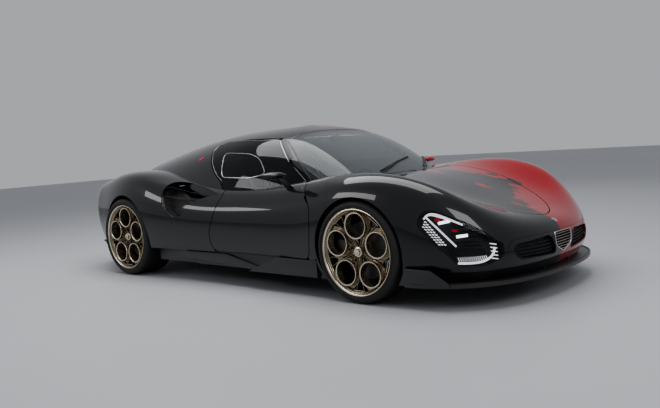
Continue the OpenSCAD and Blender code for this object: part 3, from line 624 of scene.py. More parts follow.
# ---- Body surfaces ----
BODY_ROWS = [
    [(-2200, 0, 240), (-2190, 420, 240), (-2110, 740, 240), (-1960, 790, 230), (-1680, 834, 180),
     (-1390, 883, 140), (-1100, 888, 125), (-800, 869, 125), (-400, 850, 125), (0, 840, 125),
     (400, 850, 125), (780, 880, 125), (1050, 900, 125), (1310, 915, 130), (1570, 900, 150),
     (1830, 850, 160), (2080, 720, 165), (2210, 400, 165), (2240, 0, 165)],
    [(-2235, 0, 340), (-2220, 440, 340), (-2120, 790, 350), (-1960, 834, 360), (-1680, 912, 330),
     (-1390, 956, 300), (-1100, 966, 290), (-800, 944, 290), (-400, 915, 290), (0, 900, 290),
     (400, 905, 290), (780, 930, 290), (1050, 955, 290), (1310, 972, 290), (1570, 960, 280),
     (1830, 905, 260), (2130, 760, 230), (2260, 430, 225), (2290, 0, 220)],
    [(-2245, 0, 480), (-2230, 450, 480), (-2130, 820, 490), (-1960, 853, 500), (-1680, 942, 500),
     (-1390, 985, 500), (-1100, 991, 490), (-800, 973, 480), (-400, 940, 470), (0, 915, 470),
     (400, 912, 470), (780, 935, 470), (1050, 968, 480), (1310, 990, 490), (1570, 972, 470),
     (1830, 915, 400), (2140, 770, 320), (2270, 430, 310), (2310, 0, 300)],
    [(-2260, 0, 620), (-2240, 450, 620), (-2140, 815, 620), (-1960, 844, 640), (-1680, 927, 680),
     (-1390, 981, 695), (-1100, 984, 690), (-800, 963, 650), (-400, 925, 610), (0, 900, 600),
     (400, 898, 600), (780, 920, 610), (1050, 958, 650), (1310, 982, 675), (1570, 965, 650),
     (1830, 900, 560), (2120, 750, 430), (2260, 420, 400), (2310, 0, 375)],
    [(-2290, 0, 760), (-2270, 440, 755), (-2170, 780, 750), (-1960, 810, 785), (-1680, 868, 838),
     (-1390, 922, 858), (-1100, 922, 845), (-800, 879, 772), (-400, 845, 700), (0, 835, 690),
     (400, 840, 695), (780, 868, 730), (1050, 905, 788), (1310, 935, 816), (1570, 915, 800),
     (1830, 850, 710), (2070, 720, 560), (2220, 400, 460), (2290, 0, 435)],
    [(-2300, 0, 850), (-2280, 410, 840), (-2180, 680, 815), (-1960, 700, 858), (-1680, 770, 915),
     (-1390, 830, 937), (-1100, 820, 915), (-800, 785, 843), (-400, 775, 780), (0, 775, 760),
     (400, 775, 770), (780, 780, 820), (1050, 790, 858), (1310, 800, 878), (1570, 790, 864),
     (1830, 740, 790), (2000, 640, 640), (2140, 340, 505), (2240, 0, 475)],
    [(-2250, 0, 885), (-2230, 300, 880), (-2150, 450, 860), (-1960, 440, 893), (-1680, 480, 915),
     (-1390, 520, 918), (-1100, 520, 905), (-800, 520, 862), (-400, 540, 800), (0, 540, 780),
     (400, 540, 780), (780, 540, 800), (1050, 560, 808), (1310, 580, 786), (1570, 560, 716),
     (1830, 520, 610), (2000, 420, 560), (2080, 200, 525), (2140, 0, 510)],
    [(-2190, 0, 895), (-2150, 0, 895), (-2100, 0, 892), (-1960, 0, 890), (-1680, 0, 905),
     (-1390, 0, 905), (-1100, 0, 900), (-800, 0, 860), (-400, 0, 800), (0, 0, 780), (400, 0, 790),
     (780, 0, 810), (1050, 0, 820), (1310, 0, 790), (1570, 0, 720), (1830, 0, 620), (1960, 0, 575),
     (2030, 0, 550), (2080, 0, 535)]
]
CABIN_ROWS = [
    [(-2150, 0, 870), (-1950, 360, 850), (-1500, 590, 800), (-1050, 720, 740), (-640, 790, 680),
     (-260, 815, 640), (120, 815, 630), (650, 800, 650), (1040, 650, 680), (1110, 340, 695),
     (1130, 0, 700)],
    [(-2120, 0, 905), (-1950, 320, 912), (-1500, 540, 915), (-1000, 670, 890), (-600, 745, 840),
     (-230, 775, 800), (120, 785, 780), (610, 765, 778), (985, 630, 785), (1045, 320, 800),
     (1060, 0, 805)],
    [(-1980, 0, 945), (-1850, 240, 955), (-1450, 430, 985), (-1000, 580, 1000), (-600, 670, 985),
     (-230, 710, 960), (90, 718, 945), (500, 690, 940), (795, 575, 945), (845, 290, 955), (850, 0, 960)],
    [(-1780, 0, 985), (-1680, 160, 995), (-1350, 310, 1045), (-950, 450, 1080), (-560, 560, 1085),
     (-240, 610, 1080), (20, 622, 1080), (320, 590, 1075), (565, 500, 1082), (600, 255, 1095),
     (600, 0, 1100)],
    [(-1480, 0, 1038), (-1400, 90, 1052), (-1150, 200, 1096), (-850, 300, 1142), (-540, 400, 1168),
     (-280, 455, 1174), (-70, 472, 1176), (130, 450, 1178), (290, 370, 1188), (300, 185, 1197),
     (290, 0, 1200)],
    [(-970, 0, 1150), (-920, 0, 1160), (-780, 0, 1182), (-600, 0, 1204), (-420, 0, 1225),
     (-270, 0, 1233), (-150, 0, 1236), (-70, 0, 1238), (-20, 0, 1238), (10, 0, 1238), (20, 0, 1238)]
]


def blend_weights(t):
    return np.array([(1 - t) ** 3, 3 * t ** 3 - 6 * t * t + 4, -3 * t ** 3 + 3 * t * t + 3 * t + 1,
                     t ** 3]) / 6


def spline(points, steps):
    """A uniform cubic through the neighbourhood of each point, along the first axis of points."""
    spans = len(points) - 3
    out = []
    for k in range(spans * steps + 1):
        i = min(k // steps, spans - 1)
        w = blend_weights(k / steps - i)
        out.append(sum(w[j] * points[i + j] for j in range(4)))
    return np.array(out)


def net(rows, steps_along, steps_up):
    """The left half of a surface from its control rows, each from tail to nose, the lowest first."""
    flip = np.array([1.0, -1.0, 1.0])
    rows = np.array(rows, float)
    ends = np.concatenate([rows[:, 1:2] * flip, rows, rows[:, -2:-1] * flip], 1)
    sampled = spline(ends.transpose(1, 0, 2), steps_along).transpose(1, 0, 2)
    below = 2 * sampled[:1] - sampled[1:2]
    above = sampled[-2:-1] * flip
    return spline(np.concatenate([below, sampled, above]), steps_up)


def closed(name, grid):
    """A closed solid whose top and ends lie on the centre plane, mirrored to both sides."""
    rows, columns = grid.shape[:2]
    last = columns - 1
    ring = 2 * last
    flip = np.array([1.0, -1.0, 1.0])
    points = []
    for r in range(rows - 1):
        points += list(grid[r]) + [grid[r][ring - k] * flip for k in range(columns, ring)]
    points += list(grid[-1])
    top = (rows - 1) * ring

    def at(r, k):
        m = k % ring
        return r * ring + m if r < rows - 1 else top + (m if m <= last else ring - m)

    faces = []
    for r in range(rows - 1):
        for k in range(ring):
            corners = [at(r, k), at(r, k + 1), at(r + 1, k + 1), at(r + 1, k)]
            faces.append(tuple(dict.fromkeys(corners)))
    faces += [(1, 0, ring - 1)]
    faces += [(k + 1, k, ring - k, ring - k - 1) for k in range(1, last - 1)]
    faces += [(last, last - 1, last + 1)]
    return cutter(cleaned(new_piece(name, points, faces)))


BODY_GRID = net(BODY_ROWS, 8, 10)
CABIN_GRID = net(CABIN_ROWS, 12, 12)


def body_solid(depth=0.0):
    scale = np.array([1 - 2 * depth / BODY_LENGTH, 1 - 2 * depth / BODY_WIDTH, 1 - depth / BODY_DEPTH])
    base = np.array([0, 0, SHELL_BASE])
    return closed("body_solid", (BODY_GRID - base) * scale + base)


def cabin_solid(depth=0.0):
    scale = np.array([1 - depth / reach for reach in CABIN_REACH])
    return closed("cabin_solid", (CABIN_GRID - CABIN_MIDDLE) * scale + CABIN_MIDDLE)


class Skin:
    """The outer surface as it should look: the nearest point and its true normal."""

    def __init__(self, solid):
        mesh = solid.data
        mesh.calc_loop_triangles()
        self.points = np.array([v.co for v in mesh.vertices])
        self.normals = np.array([v.normal for v in mesh.vertices])
        self.triangles = np.array([t.vertices[:] for t in mesh.loop_triangles])
        self.tree = BVHTree.FromPolygons(self.points.tolist(), self.triangles.tolist())

    def near(self, point):
        """(distance, place, smooth normal) of the surface nearest to a point in metres."""
        place, _, index, distance = self.tree.find_nearest(point)
        a, b, c = self.points[self.triangles[index]]
        na, nb, nc = self.normals[self.triangles[index]]
        p = np.array(place)
        area = np.linalg.norm(np.cross(b - a, c - a)) or 1.0
        wa = np.linalg.norm(np.cross(b - p, c - p)) / area
        wb = np.linalg.norm(np.cross(c - p, a - p)) / area
        normal = na * wa + nb * wb + nc * max(0.0, 1 - wa - wb)
        return distance, p, normal / np.linalg.norm(normal)

    def at(self, point, depth=0.0):
        """A point in millimetres moved onto the surface and then in by depth, with the normal there."""
        _, place, normal = self.near(np.array(point, float) * MM)
        return place / MM - normal * depth, normal


BODY = body_solid()
CABIN = cabin_solid()
BODY_SKIN = Skin(BODY)
CABIN_SKIN = Skin(CABIN)


def polish(piece, *skins, reach=0.0009):
    """Shades what lies on a skin with the skin's own normals, and everything else flat."""
    mesh = piece.data
    mesh.shade_smooth()
    faces = np.zeros(len(mesh.polygons) * 3, np.float32)
    mesh.polygons.foreach_get("normal", faces)
    faces = faces.reshape(-1, 3)
    owner = loop_vertices(mesh)
    points = np.zeros(len(mesh.vertices) * 3, np.float32)
    mesh.vertices.foreach_get("co", points)
    points = points.reshape(-1, 3)
    found = [[None] * len(points) for _ in skins]
    for store, skin in zip(found, skins):
        for i, p in enumerate(points):
            distance, _, normal = skin.near(p)
            if distance < reach:
                store[i] = normal
    normals = []
    for face, (start, total) in zip(faces, loop_starts(mesh)):
        best = None
        for store in found:
            here = [store[owner[i]] for i in range(start, start + total)]
            if all(n is not None for n in here) and float(here[0] @ face) > 0.8:
                best = here
                break
        normals += best if best is not None else [face] * total
    mesh.normals_split_custom_set([tuple(n) for n in normals])
    return piece


# ---- Outlines of the panels ----
DOOR_OUTLINE = [(780, 815), (797, 757), (848, 698), (902, 632), (905, 470), (880, 310), (850, 262),
                (-190, 262),
                (-235, 330), (-230, 430), (-170, 560), (-140, 700), (-150, 760), (-192, 815)]
SIDE_GLASS_OUTLINE = [(770, 786), (545, 904), (407, 1020), (290, 1104), (250, 1116), (74, 1122),
                      (-182, 1128),
                      (-400, 1130), (-480, 1118), (-512, 1085), (-500, 1040), (-430, 958), (-320,
                                                                                            858), (-215,
                                                                                                   800),
                      (-180, 720), (760, 720)]
SWING_OUTLINE = [(-182, 1090), (-182, 1128), (-120, 1132), (74, 1128), (256, 1122), (301, 1107),
                 (260, 1090)]
SCREEN_OUTLINE = [(830, 740), (797, 796), (591, 913), (462, 1017), (325, 1102), (345, 1130), (400, 1195),
                  (420, 1300),
                  (1400, 1300), (1400, 740)]
FENDER_REAR_LINE = [(1010, 1000), (1020, 800), (1078, 702), (1062, 600), (1000, 540), (940, 420),
                    (940, 100)]
BUMPER_LINE = [(1600, 250), (1990, 262), (2130, 262), (2200, 330), (2200, 402), (2420, 402)]
FRONT_FENDER_OUTLINE = FENDER_REAR_LINE + [(1600, 100)] + BUMPER_LINE + [(2420, 1000)]
FRONT_BUMPER_OUTLINE = [(1600, 165)] + BUMPER_LINE + [(2420, 165)]
COWL_OUTLINE = [(700, 1000), (760, 815)] + DOOR_OUTLINE[:6] + [
    (850, 262), (940, 262), (940, 420), (1000, 540), (1062, 600), (1078, 702), (1020, 800), (1092,
                                                                                             850), (1092,
                                                                                                    1000)]
TAIL_LINE = [(-1780, 262), (-1820, 330), (-1960, 560), (-2060, 700), (-2400, 700)]
REAR_FENDER_OUTLINE = [(-192, 1000), (-192, 815), (-150, 760), (-140, 700), (-170, 560), (-230, 430),
                       (-235, 330),
                       (-190, 262)] + TAIL_LINE + [(-2400, 1000)]
REAR_BUMPER_OUTLINE = [(-1780, 240)] + TAIL_LINE + [(-2400, 240)]
SIDE_INTAKE_OUTLINE = [(-165, 712), (-393, 765), (-643, 809), (-780, 822), (-826, 790), (-838, 753),
                       (-812, 666),
                       (-760, 578), (-620, 516), (-556, 530), (-560, 602), (-470, 652), (-314, 696)]
LAMP_OUTLINE = [(1779, 560), (1798, 601), (1845, 616), (1903, 591), (2022, 533), (2110, 465), (2156, 410),
                (2184, 386), (2190, 314), (2160, 284), (2124, 268), (2001, 268), (1952, 331), (1776, 519)]
HOOD_PLAN = [(1112, 0), (1112, 535), (1196, 529), (1423, 500), (1600, 485), (1775, 430), (1924, 360),
             (2072, 235),
             (2150, 110), (2180, 0)]
LID_PLAN = [(-762, 0), (-762, 370), (-1150, 400), (-1500, 400), (-1850, 430), (-2130, 430), (-2400, 430),
            (-2400, 0)]
REAR_WINDOW_PLAN = [(-830, 0), (-830, 250), (-900, 275), (-1180, 265), (-1240, 240), (-1240, 0)]
SPLITTER_PLAN = [(2318.5, 0), (2312, 200), (2285, 400), (2225, 600), (2130, 740), (1990, 865), (1860, 922),
                 (1640, 955), (1640, 700), (1500, 480), (1500, 0)]
NOSE_INTAKE = [(523, 368), (170, 386), (128, 300), (105, 253), (483, 268), (540, 320)]
SHIELD = [(125, 392), (118, 300), (0, 255), (-118, 300), (-125, 392)]


# ---- Bodywork ----
def with_twin(piece, name, other_name):
    return rename(piece, name), mirrored(piece, other_name)


INNER = body_solid(PANEL)
CABIN_INNER = cabin_solid(PANEL)
body_shell = cutter(combine("body_shell", BODY, (CUT, INNER), keep=True))
deep_body = body_solid(UNDER_PANEL)
cabin_shell = cutter(combine("cabin_shell", CABIN, (CUT, CABIN_INNER), (CUT, deep_body), keep=True))
glass_shell = cutter(combine("glass_shell", CABIN, (CUT, cabin_solid(GLASS)), (CUT, deep_body),
                             keep=True))
front_arch = drum(AXLE_FRONT, ARCH_FRONT, 500, 1200)
rear_arch = drum(AXLE_REAR, ARCH_REAR, 560, 1200)
lamp_opening = across(LAMP_OUTLINE, 500, OUTER)
shield_opening = lengthwise(SHIELD, 2100, 2400)
intake_opening = across(SIDE_INTAKE_OUTLINE, 600, OUTER, reach=60)


def fenders():
    left = combine("front_fender", body_shell,
                   (WITHIN, across(FRONT_FENDER_OUTLINE, 0.15, OUTER, -FIT)),
                   (CUT, upward(HOOD_PLAN, 300, 1000, SHUT)),
                   (CUT, block((990, -1, 700), (1107, 536, 1000))),
                   (CUT, CABIN), (CUT, front_arch), (CUT, lamp_opening),
                   (CUT, shield_opening), keep=True)
    polish(left, BODY_SKIN)
    left, right = with_twin(left, "fender_skin_front_left", "fender_skin_front_right")
    finish_piece(left, "chassis", HOOD_PAINT, ["front_fender_left"], "paint_red")
    finish_piece(right, "chassis", HOOD_PAINT, ["front_fender_right"], "paint_black")
    left = combine("rear_fender", body_shell,
                   (WITHIN, across(REAR_FENDER_OUTLINE, 200, OUTER, -FIT)),
                   (CUT, upward(LID_PLAN, 300, 1300, SHUT)),
                   (CUT, CABIN), (CUT, rear_arch), (CUT, intake_opening), keep=True)
    polish(left, BODY_SKIN)
    left, right = with_twin(left, "fender_skin_rear_left", "fender_skin_rear_right")
    finish_piece(left, "chassis", BLACK, ["rear_fender_left"], "paint_black")
    finish_piece(right, "chassis", BLACK, ["rear_fender_right"], "paint_black")


def cowl_and_hood():
    span = combine("cowl_span", across(COWL_OUTLINE, 1, OUTER, -FIT),
                   (ADD, block((900, -536, 700), (1092, 536, 1000))),
                   (ADD, mirrored(across(COWL_OUTLINE, 1, OUTER, -FIT), "cowl_span_right")))
    limit = combine("cowl_limit", across(FRONT_FENDER_OUTLINE, 535.5, OUTER, FIT),
                    (CUT, block((900, -1, 0), (1092, 535.5, 1000))))
    cowl = combine("cowl_skin", body_shell, (WITHIN, cutter(span)), (CUT, cutter(limit)),
                   (CUT, cutter(mirrored(limit, "cowl_limit_right"))), (CUT, CABIN),
                   (CUT, front_arch), (CUT, cutter(mirrored(front_arch, "front_arch_right"))),
                   keep=True)
    finish_piece(polish(cowl, BODY_SKIN), "chassis", HOOD_PAINT, ["cowl"], "paint_black")
    hood = combine("hood_skin", body_shell, (WITHIN, upward(HOOD_PLAN, 300, 1000)), (CUT, CABIN),
                   (CUT, block((1090, -46, 700), (1134, 46, 900))), keep=True)
    finish_piece(polish(hood, BODY_SKIN), "hood_lid", HOOD_PAINT, ["hood"], "paint_black")


def bumpers():
    nose = combine("bumper_half", body_shell, (WITHIN, across(FRONT_BUMPER_OUTLINE, 0.0, OUTER, -FIT)),
                   (CUT, front_arch), (CUT, lamp_opening), (CUT, shield_opening),
                   (CUT, lengthwise(NOSE_INTAKE, 2000, 2400, reach=40)), keep=True)
    polish(nose, BODY_SKIN)
    left, right = with_twin(nose, "front_bumper_left_half", "front_bumper_right_half")
    finish_piece(left, "chassis", HOOD_PAINT, ["front_bumper"], "paint_red")
    finish_piece(right, "chassis", HOOD_PAINT, [], "paint_black")
    tail = combine("rear_bumper_skin", body_shell, (WITHIN, across(REAR_BUMPER_OUTLINE, 0.0, OUTER, -FIT)),
                   (CUT, rear_arch), (CUT, block((-2400, -1, 200), (-2000, 210, 400))), keep=True)
    for y, x, _ in TAIL_LAMPS:
        ring = prism(circle(58.5, 64), x - 10, x + 110, lambda u, v, w,
                     y=y: (w, y + u, TAIL_LAMP_HEIGHT + v))
        tail = combine("rear_bumper_skin", tail, (CUT, ring))
    polish(tail, BODY_SKIN)
    left, right = with_twin(tail, "rear_bumper_left_half", "rear_bumper_right_half")
    finish_piece(left, "chassis", BLACK, ["rear_bumper"], "paint_black")
    finish_piece(right, "chassis", BLACK, [], "paint_black")


def circle(radius, sides):
    angles = [2 * math.pi * k / sides for k in range(sides)]
    return [(radius * math.cos(angle), radius * math.sin(angle)) for angle in angles]


def roof_and_lid():
    glass_side = across(SIDE_GLASS_OUTLINE, 300, OUTER, reach=60)
    swing = across(SWING_OUTLINE, 300, OUTER, reach=4)
    behind = block((-188, 560, 560), (850, 1000, 735))
    cuts = [tool for piece in (glass_side, swing, behind) for tool in (piece,
                                                                       mirrored(piece, "right_opening"))]
    roof = combine("roof_skin", cabin_shell, *[(CUT, tool) for tool in cuts],
                   (CUT, across(SCREEN_OUTLINE, -1000, 1000)),
                   (CUT, upward(LID_PLAN, 300, 1300, LID_GAP)),
                   (CUT, block((-2400, -1000, 600), (-2040, 1000, 1300))), keep=True)
    finish_piece(polish(roof, CABIN_SKIN), "chassis", ROOF_PAINT, ["roof"], "paint_black")
    screen = combine("screen_pane", glass_shell, (WITHIN, across(SCREEN_OUTLINE, -1000, 1000, -0.8)),
                     keep=True)
    finish_piece(polish(screen, CABIN_SKIN), "chassis", SCREEN, ["windshield"], "glass")
    lid_zone = upward(LID_PLAN, 706, 1300)
    inner_cabin = cabin_solid(1)
    lid_body = combine("lid_body", body_shell, (CUT, inner_cabin), keep=True)
    window = upward(REAR_WINDOW_PLAN, 706, 1300)
    lid = combine("engine_lid_skin", cabin_shell, (ADD, cutter(lid_body)), (WITHIN, lid_zone),
                  (CUT, window), (CUT, block((-786, -46, 900), (-700, 46, 1300))), keep=True)
    finish_piece(polish(lid, CABIN_SKIN, BODY_SKIN), "rear_lid", BLACK, ["engine_cover"], "paint_black")
    pane = combine("rear_window_pane", glass_shell, (WITHIN, upward(REAR_WINDOW_PLAN, 706, 1300, -0.8)),
                   keep=True)
    finish_piece(polish(pane, CABIN_SKIN), "rear_lid", REAR_GLASS, ["rear_glass"], "dark_glass")


def doors():
    inner_door = combine("door_inner", BODY, (CUT, body_solid(DOOR)),
                         (WITHIN, across(DOOR_OUTLINE, 400, OUTER, -DOOR_INSET)), keep=True)
    left = combine("door_half", body_shell, (WITHIN, across(DOOR_OUTLINE, 400, OUTER, -SHUT)),
                   (ADD, cutter(inner_door)), (CUT, CABIN),
                   (CUT, hinge_rod(16, -60, 20)),
                   (CUT, block((730, 620, 150), (910, 783, 815))), keep=True)
    polish(left, BODY_SKIN)
    left, right = with_twin(left, "door_panel_left", "door_panel_right")
    finish_piece(left, "left_door", DOOR_FADE, ["door_left"], "paint_black")
    finish_piece(right, "right_door", BLACK, ["door_right"], "paint_black")
    pane = combine("door_pane", glass_shell,
                   (WITHIN, across(SIDE_GLASS_OUTLINE, 300, OUTER, -SHUT, reach=60)),
                   (CUT, hinge_rod(26, 490, 870)), keep=True)
    polish(pane, CABIN_SKIN)
    left, right = with_twin(pane, "door_pane_left", "door_pane_right")
    finish_piece(left, "left_door", SIDE_GLASS, ["door_glass_left"], "dark_glass")
    finish_piece(right, "right_door", SIDE_GLASS, ["door_glass_right"], "dark_glass")


def both(piece, body, other_body, material, name, replaces=(), slot=None):
    """A left piece, which stands for the nodes in replaces, and its mirror image, each on its body."""
    left, right = with_twin(piece, name + "_left", name + "_right")
    finish_piece(left, body, material, replaces, slot)
    finish_piece(right, other_body, material, (), slot)
    return left, right


def fixed(piece, material, name, replaces=(), slot=None):
    return both(piece, "chassis", "chassis", material, name, replaces, slot)


def on_doors(piece, material, name, slot):
    return both(piece, "left_door", "right_door", material, name, (), slot)


# ---- Strips that follow a surface ----
def tube_faces(rings, sides):
    """The walls between rings of points in a row, with a cap on the first and the last ring."""
    faces = [(r * sides + a, r * sides + (a + 1) % sides, (r + 1) * sides + (a + 1) % sides,
              (r + 1) * sides + a)
             for r in range(rings - 1) for a in range(sides)]
    return faces + [tuple(range(sides))[::-1], tuple(range((rings - 1) * sides, rings * sides))]


def sweep(name, centres, normals, width, height, closed_loop=False, taper=1.0):
    """A rounded strip along a line, lying with its back on the surface that normals describe."""
    section = [(-0.5, 0), (-0.5, 0.55), (-0.5 + 0.35 * 0.5, 1), (0.5 - 0.35 * 0.5, 1), (0.5, 0.55),
               (0.5, 0)]
    centres = np.array(centres, float)
    count = len(centres)
    points = []
    for i, (c, n) in enumerate(zip(centres, normals)):
        ahead = centres[(i + 1) % count if closed_loop else min(i + 1, count - 1)]
        behind = centres[i - 1 if closed_loop else max(i - 1, 0)]
        way = ahead - behind
        way /= np.linalg.norm(way)
        side = np.cross(way, n)
        side /= np.linalg.norm(side)
        up = np.cross(side, way)
        share = 1.0 if closed_loop else 1 - (1 - taper) * abs(2 * i / (count - 1) - 1)
        points += [c + side * u * width * share + up * v * height for u, v in section]
    sides = len(section)
    faces = []
    for i in range(count if closed_loop else count - 1):
        a, b = i * sides, ((i + 1) % count) * sides
        faces += [(a + k, b + k, b + (k + 1) % sides, a + (k + 1) % sides) for k in range(sides)]
    if not closed_loop:
        faces += [tuple(range(sides)), tuple(range((count - 1) * sides, count * sides))[::-1]]
    return new_piece(name, points, faces, smooth=40)


def dense(points, gap=12.0, reach=None, loop=False):
    """Points along a smoothed line no further apart than gap."""
    line = np.array(points, float)
    if reach:
        line = softened(line, reach, 6, closed=loop)
    if loop:
        line = np.concatenate([line, line[:1]])
    out = [line[0]]
    for a, b in zip(line[:-1], line[1:]):
        length = np.linalg.norm(b - a)
        if length < 1e-6:
            continue
        steps = max(1, int(length / gap))
        out += [a + (b - a) * (k + 1) / steps for k in range(steps)]
    return np.array(out[:-1] if loop else out)


def on_skin(skin, line, depth):
    found = [skin.at(p, depth) for p in line]
    return [f[0] for f in found], [f[1] for f in found]


def strip(name, skin, points, width, height, depth=0.0, reach=40, loop=False, taper=1.0):
    centres, normals = on_skin(skin, dense(points, 12.0, reach, loop), depth)
    return sweep(name, centres, normals, width, height, closed_loop=loop, taper=taper)


def raised(outline, side_y):
    """A side outline as points at a rough distance from the middle, to be moved onto a skin."""
    return [(x, side_y, z) for x, z in outline]


def glass_trims():
    rear = [(-480, 605, 1046), (-408, 688, 958), (-290, 745, 858), (-205, 762, 812)]
    top = [(236, 520, 1113), (74, 547, 1117), (-182, 532, 1126), (-400, 500, 1128), (-496, 520, 1100),
           (-500, 575, 1066)]
    edges = (("glass_edge_trim", top + rear, 5, 0.6),
             ("glass_front_trim", [(752, 799, 788), (640, 735, 850), (540, 690, 902)], 4, 1.0),
             ("glass_upper_trim", [(474, 655, 925), (389, 612, 993), (300, 560, 1062), (262, 530, 1092)], 4,
              1.0))
    for name, line, width, taper in edges:
        on_doors(strip("trim", CABIN_SKIN, line, width, 3, 1.5, taper=taper), BRIGHT, name, slot="steel")
    axis = [HINGE_LOW + (HINGE_HIGH - HINGE_LOW) * t for t in (0.83, 1.0, 1.18, 1.30)]
    fixed(strip("bead", CABIN_SKIN, axis, 44, 5, 3.0), SATIN, "pillar_seal", slot="dark_frame")
    inner = [(-292, 637, 1033), (44, 660, 1014), (171, 682, 975), (289, 740, 857), (116, 760, 830),
             (-222, 755, 842)]
    ring = strip("frame", CABIN_SKIN, inner, 6, 4, 0.0, 55, loop=True)
    on_doors(ring, BRIGHT, "small_window_frame", slot="steel")
    pillar = [(797, 790, 798), (591, 660, 914), (462, 600, 1019), (325, 522, 1104)]
    fixed(strip("seal", CABIN_SKIN, pillar, 7, 2.5, 0.5), SATIN, "screen_seal", slot="dark_frame")
    header = [(330, 505, 1112), (372, 380, 1160), (384, 200, 1178), (388, 0, 1182)]
    fixed(strip("header", CABIN_SKIN, header, 26, 1.4, 0.6), SATIN, "screen_header_band", slot="dark_frame")


def wipers():
    for index, (root, tip) in enumerate((((1010, -250, 830), (905, 240, 905)),
                                         ((1000, 330, 832), (830, 560, 900)))):
        root, tip = np.array(root, float), np.array(tip, float)
        line = [root + (tip - root) * k / 10 for k in range(11)]
        blade = strip("wiper_blade_" + str(index + 1), CABIN_SKIN, line, 9, 11, -1.0, None)
        finish_piece(blade, "chassis", SATIN, [], "dark_frame")
        arm = [root + (tip - root) * k / 10 * 0.55 + np.array([30 - 3 * k, 0, 0]) for k in range(11)]
        arm = strip("wiper_arm_" + str(index + 1), CABIN_SKIN, arm, 13, 6, -12.0, None, taper=0.7)
        finish_piece(arm, "chassis", SATIN, [], "dark_frame")


# ---- Lamps and intakes ----
def bar(name, start, end, width, height, skin, depth):
    line = [np.array(start, float) + (np.array(end, float) - np.array(start,
                                                                      float)) * k / 6 for k in range(7)]
    centres, normals = on_skin(skin, line, depth)
    return sweep(name, centres, normals, width, height)


def joined(name, pieces):
    """Several pieces as one object."""
    work = bmesh.new()
    for piece in pieces:
        work.from_mesh(piece.data)
    mesh = bpy.data.meshes.new(name)
    work.to_mesh(mesh)
    work.free()
    for piece in pieces:
        bpy.data.objects.remove(piece)
    return shade(in_scene(name, mesh), 40)


def headlamps():
    pocket = combine("pocket", body_solid(-12), (CUT, body_solid(46)),
                     (WITHIN, across(LAMP_OUTLINE, 500, OUTER, -7)), keep=True)
    cup = combine("cup", body_solid(3), (CUT, body_solid(58)),
                  (WITHIN, across(LAMP_OUTLINE, 500, OUTER, -0.8)), (CUT, cutter(pocket)), keep=True)
    fixed(shade(cup, 25), PLASTIC, "lamp_housing", ["headlights"], slot="lamp_housing")
    cover = combine("cover", body_solid(0), (CUT, body_solid(3)),
                    (WITHIN, across(LAMP_OUTLINE, 500, OUTER, -3)), keep=True)
    fixed(polish(cover, BODY_SKIN), LAMP_COVER, "lamp_cover", slot="glass")
    upper = [(1812, 892, 560), (1826, 880, 583), (1853, 868, 592), (1900, 848, 580), (1960, 815, 553),
             (2015, 770, 518)]
    pieces = [strip("s", BODY_SKIN, upper, 20, 9, 14, taper=0.5),
              bar("s", (1822, 880, 572), (1993, 822, 389), 11, 10, BODY_SKIN, 20)]
    low = [(1994, 817, 286), (2060, 770, 284), (2110, 722, 288), (2146, 690, 308), (2164, 668, 338),
           (2160, 655, 372)]
    pieces.append(strip("s", BODY_SKIN, low, 13, 10, 13))
    fixed(joined("strips", pieces), STRIP_LIGHT, "lamp_light_strip", slot="glass")
    bars = [bar("s", (1893, 855, 533), (1950, 812, 545), 17, 10, BODY_SKIN, 18),
            bar("s", (1990, 812, 449), (2042, 766, 455), 17, 10, BODY_SKIN, 18)]
    fixed(joined("bars", bars), WHITE_LIGHT, "lamp_beam_bar", slot="glass")
    accents = [bar("s", (1872, 858, 556), (1902, 848, 558), 15, 8, BODY_SKIN, 20),
               bar("s", (1966, 820, 487), (1996, 806, 489), 15, 8, BODY_SKIN, 20)]
    fixed(joined("accents", accents), RED_ACCENT, "lamp_accent", slot="red_lens")
    dots = []
    for row in range(3):
        for k in range(10 - row):
            along = 16 + 21 * k + 7 * row
            off = 16 + 16 * row
            x = 1826 + 0.68 * along - 0.73 * off
            z = 568 - 0.73 * along - 0.68 * off
            dots.append(bar("s", (x - 5, 900, z + 2), (x + 7, 894, z - 3), 8 - row, 8, BODY_SKIN, 15))
    fixed(joined("dots", dots), STRIP_LIGHT, "lamp_lattice", slot="glass")
    fingers = []
    for k in range(14):
        t = k / 13
        x, y, z = 2004 + 132 * t, 812 - 108 * t, 296 + 3 * t
        fingers.append(bar("s", (x, y, z), (x - 9, y + 4, z + 27), 3.5, 7, BODY_SKIN, 13))
    for k in range(5):
        z = 300 + 22 * k
        fingers.append(bar("s", (2178 - 5 * k, 648 - 2 * k, z - 2), (2150 - 5 * k, 680 - 2 * k, z + 6), 6,
                           8, BODY_SKIN, 9))
    fixed(joined("fingers", fingers), STRIP_LIGHT, "lamp_finger_fins", slot="glass")
    mouth = [(2000, 817, 384), (2127, 697, 378), (2124, 710, 320), (1990, 828, 316), (1965, 840, 345)]
    rim = strip("s", BODY_SKIN, mouth, 7, 14, 34, 20, loop=True)
    fixed(rim, SATIN, "lamp_intake_rim", slot="dark_satin")
    plates = []
    for z in (400, 424, 452, 486):
        start, end = (1960 + (486 - z) * 0.35, 838, z), (2120 - (z - 400) * 0.9, 700, z + 4)
        plates.append(bar("s", start, end, 10, 12, BODY_SKIN, 38))
    fixed(joined("plates", plates), PLASTIC, "lamp_inner_shelf", slot="lamp_housing")


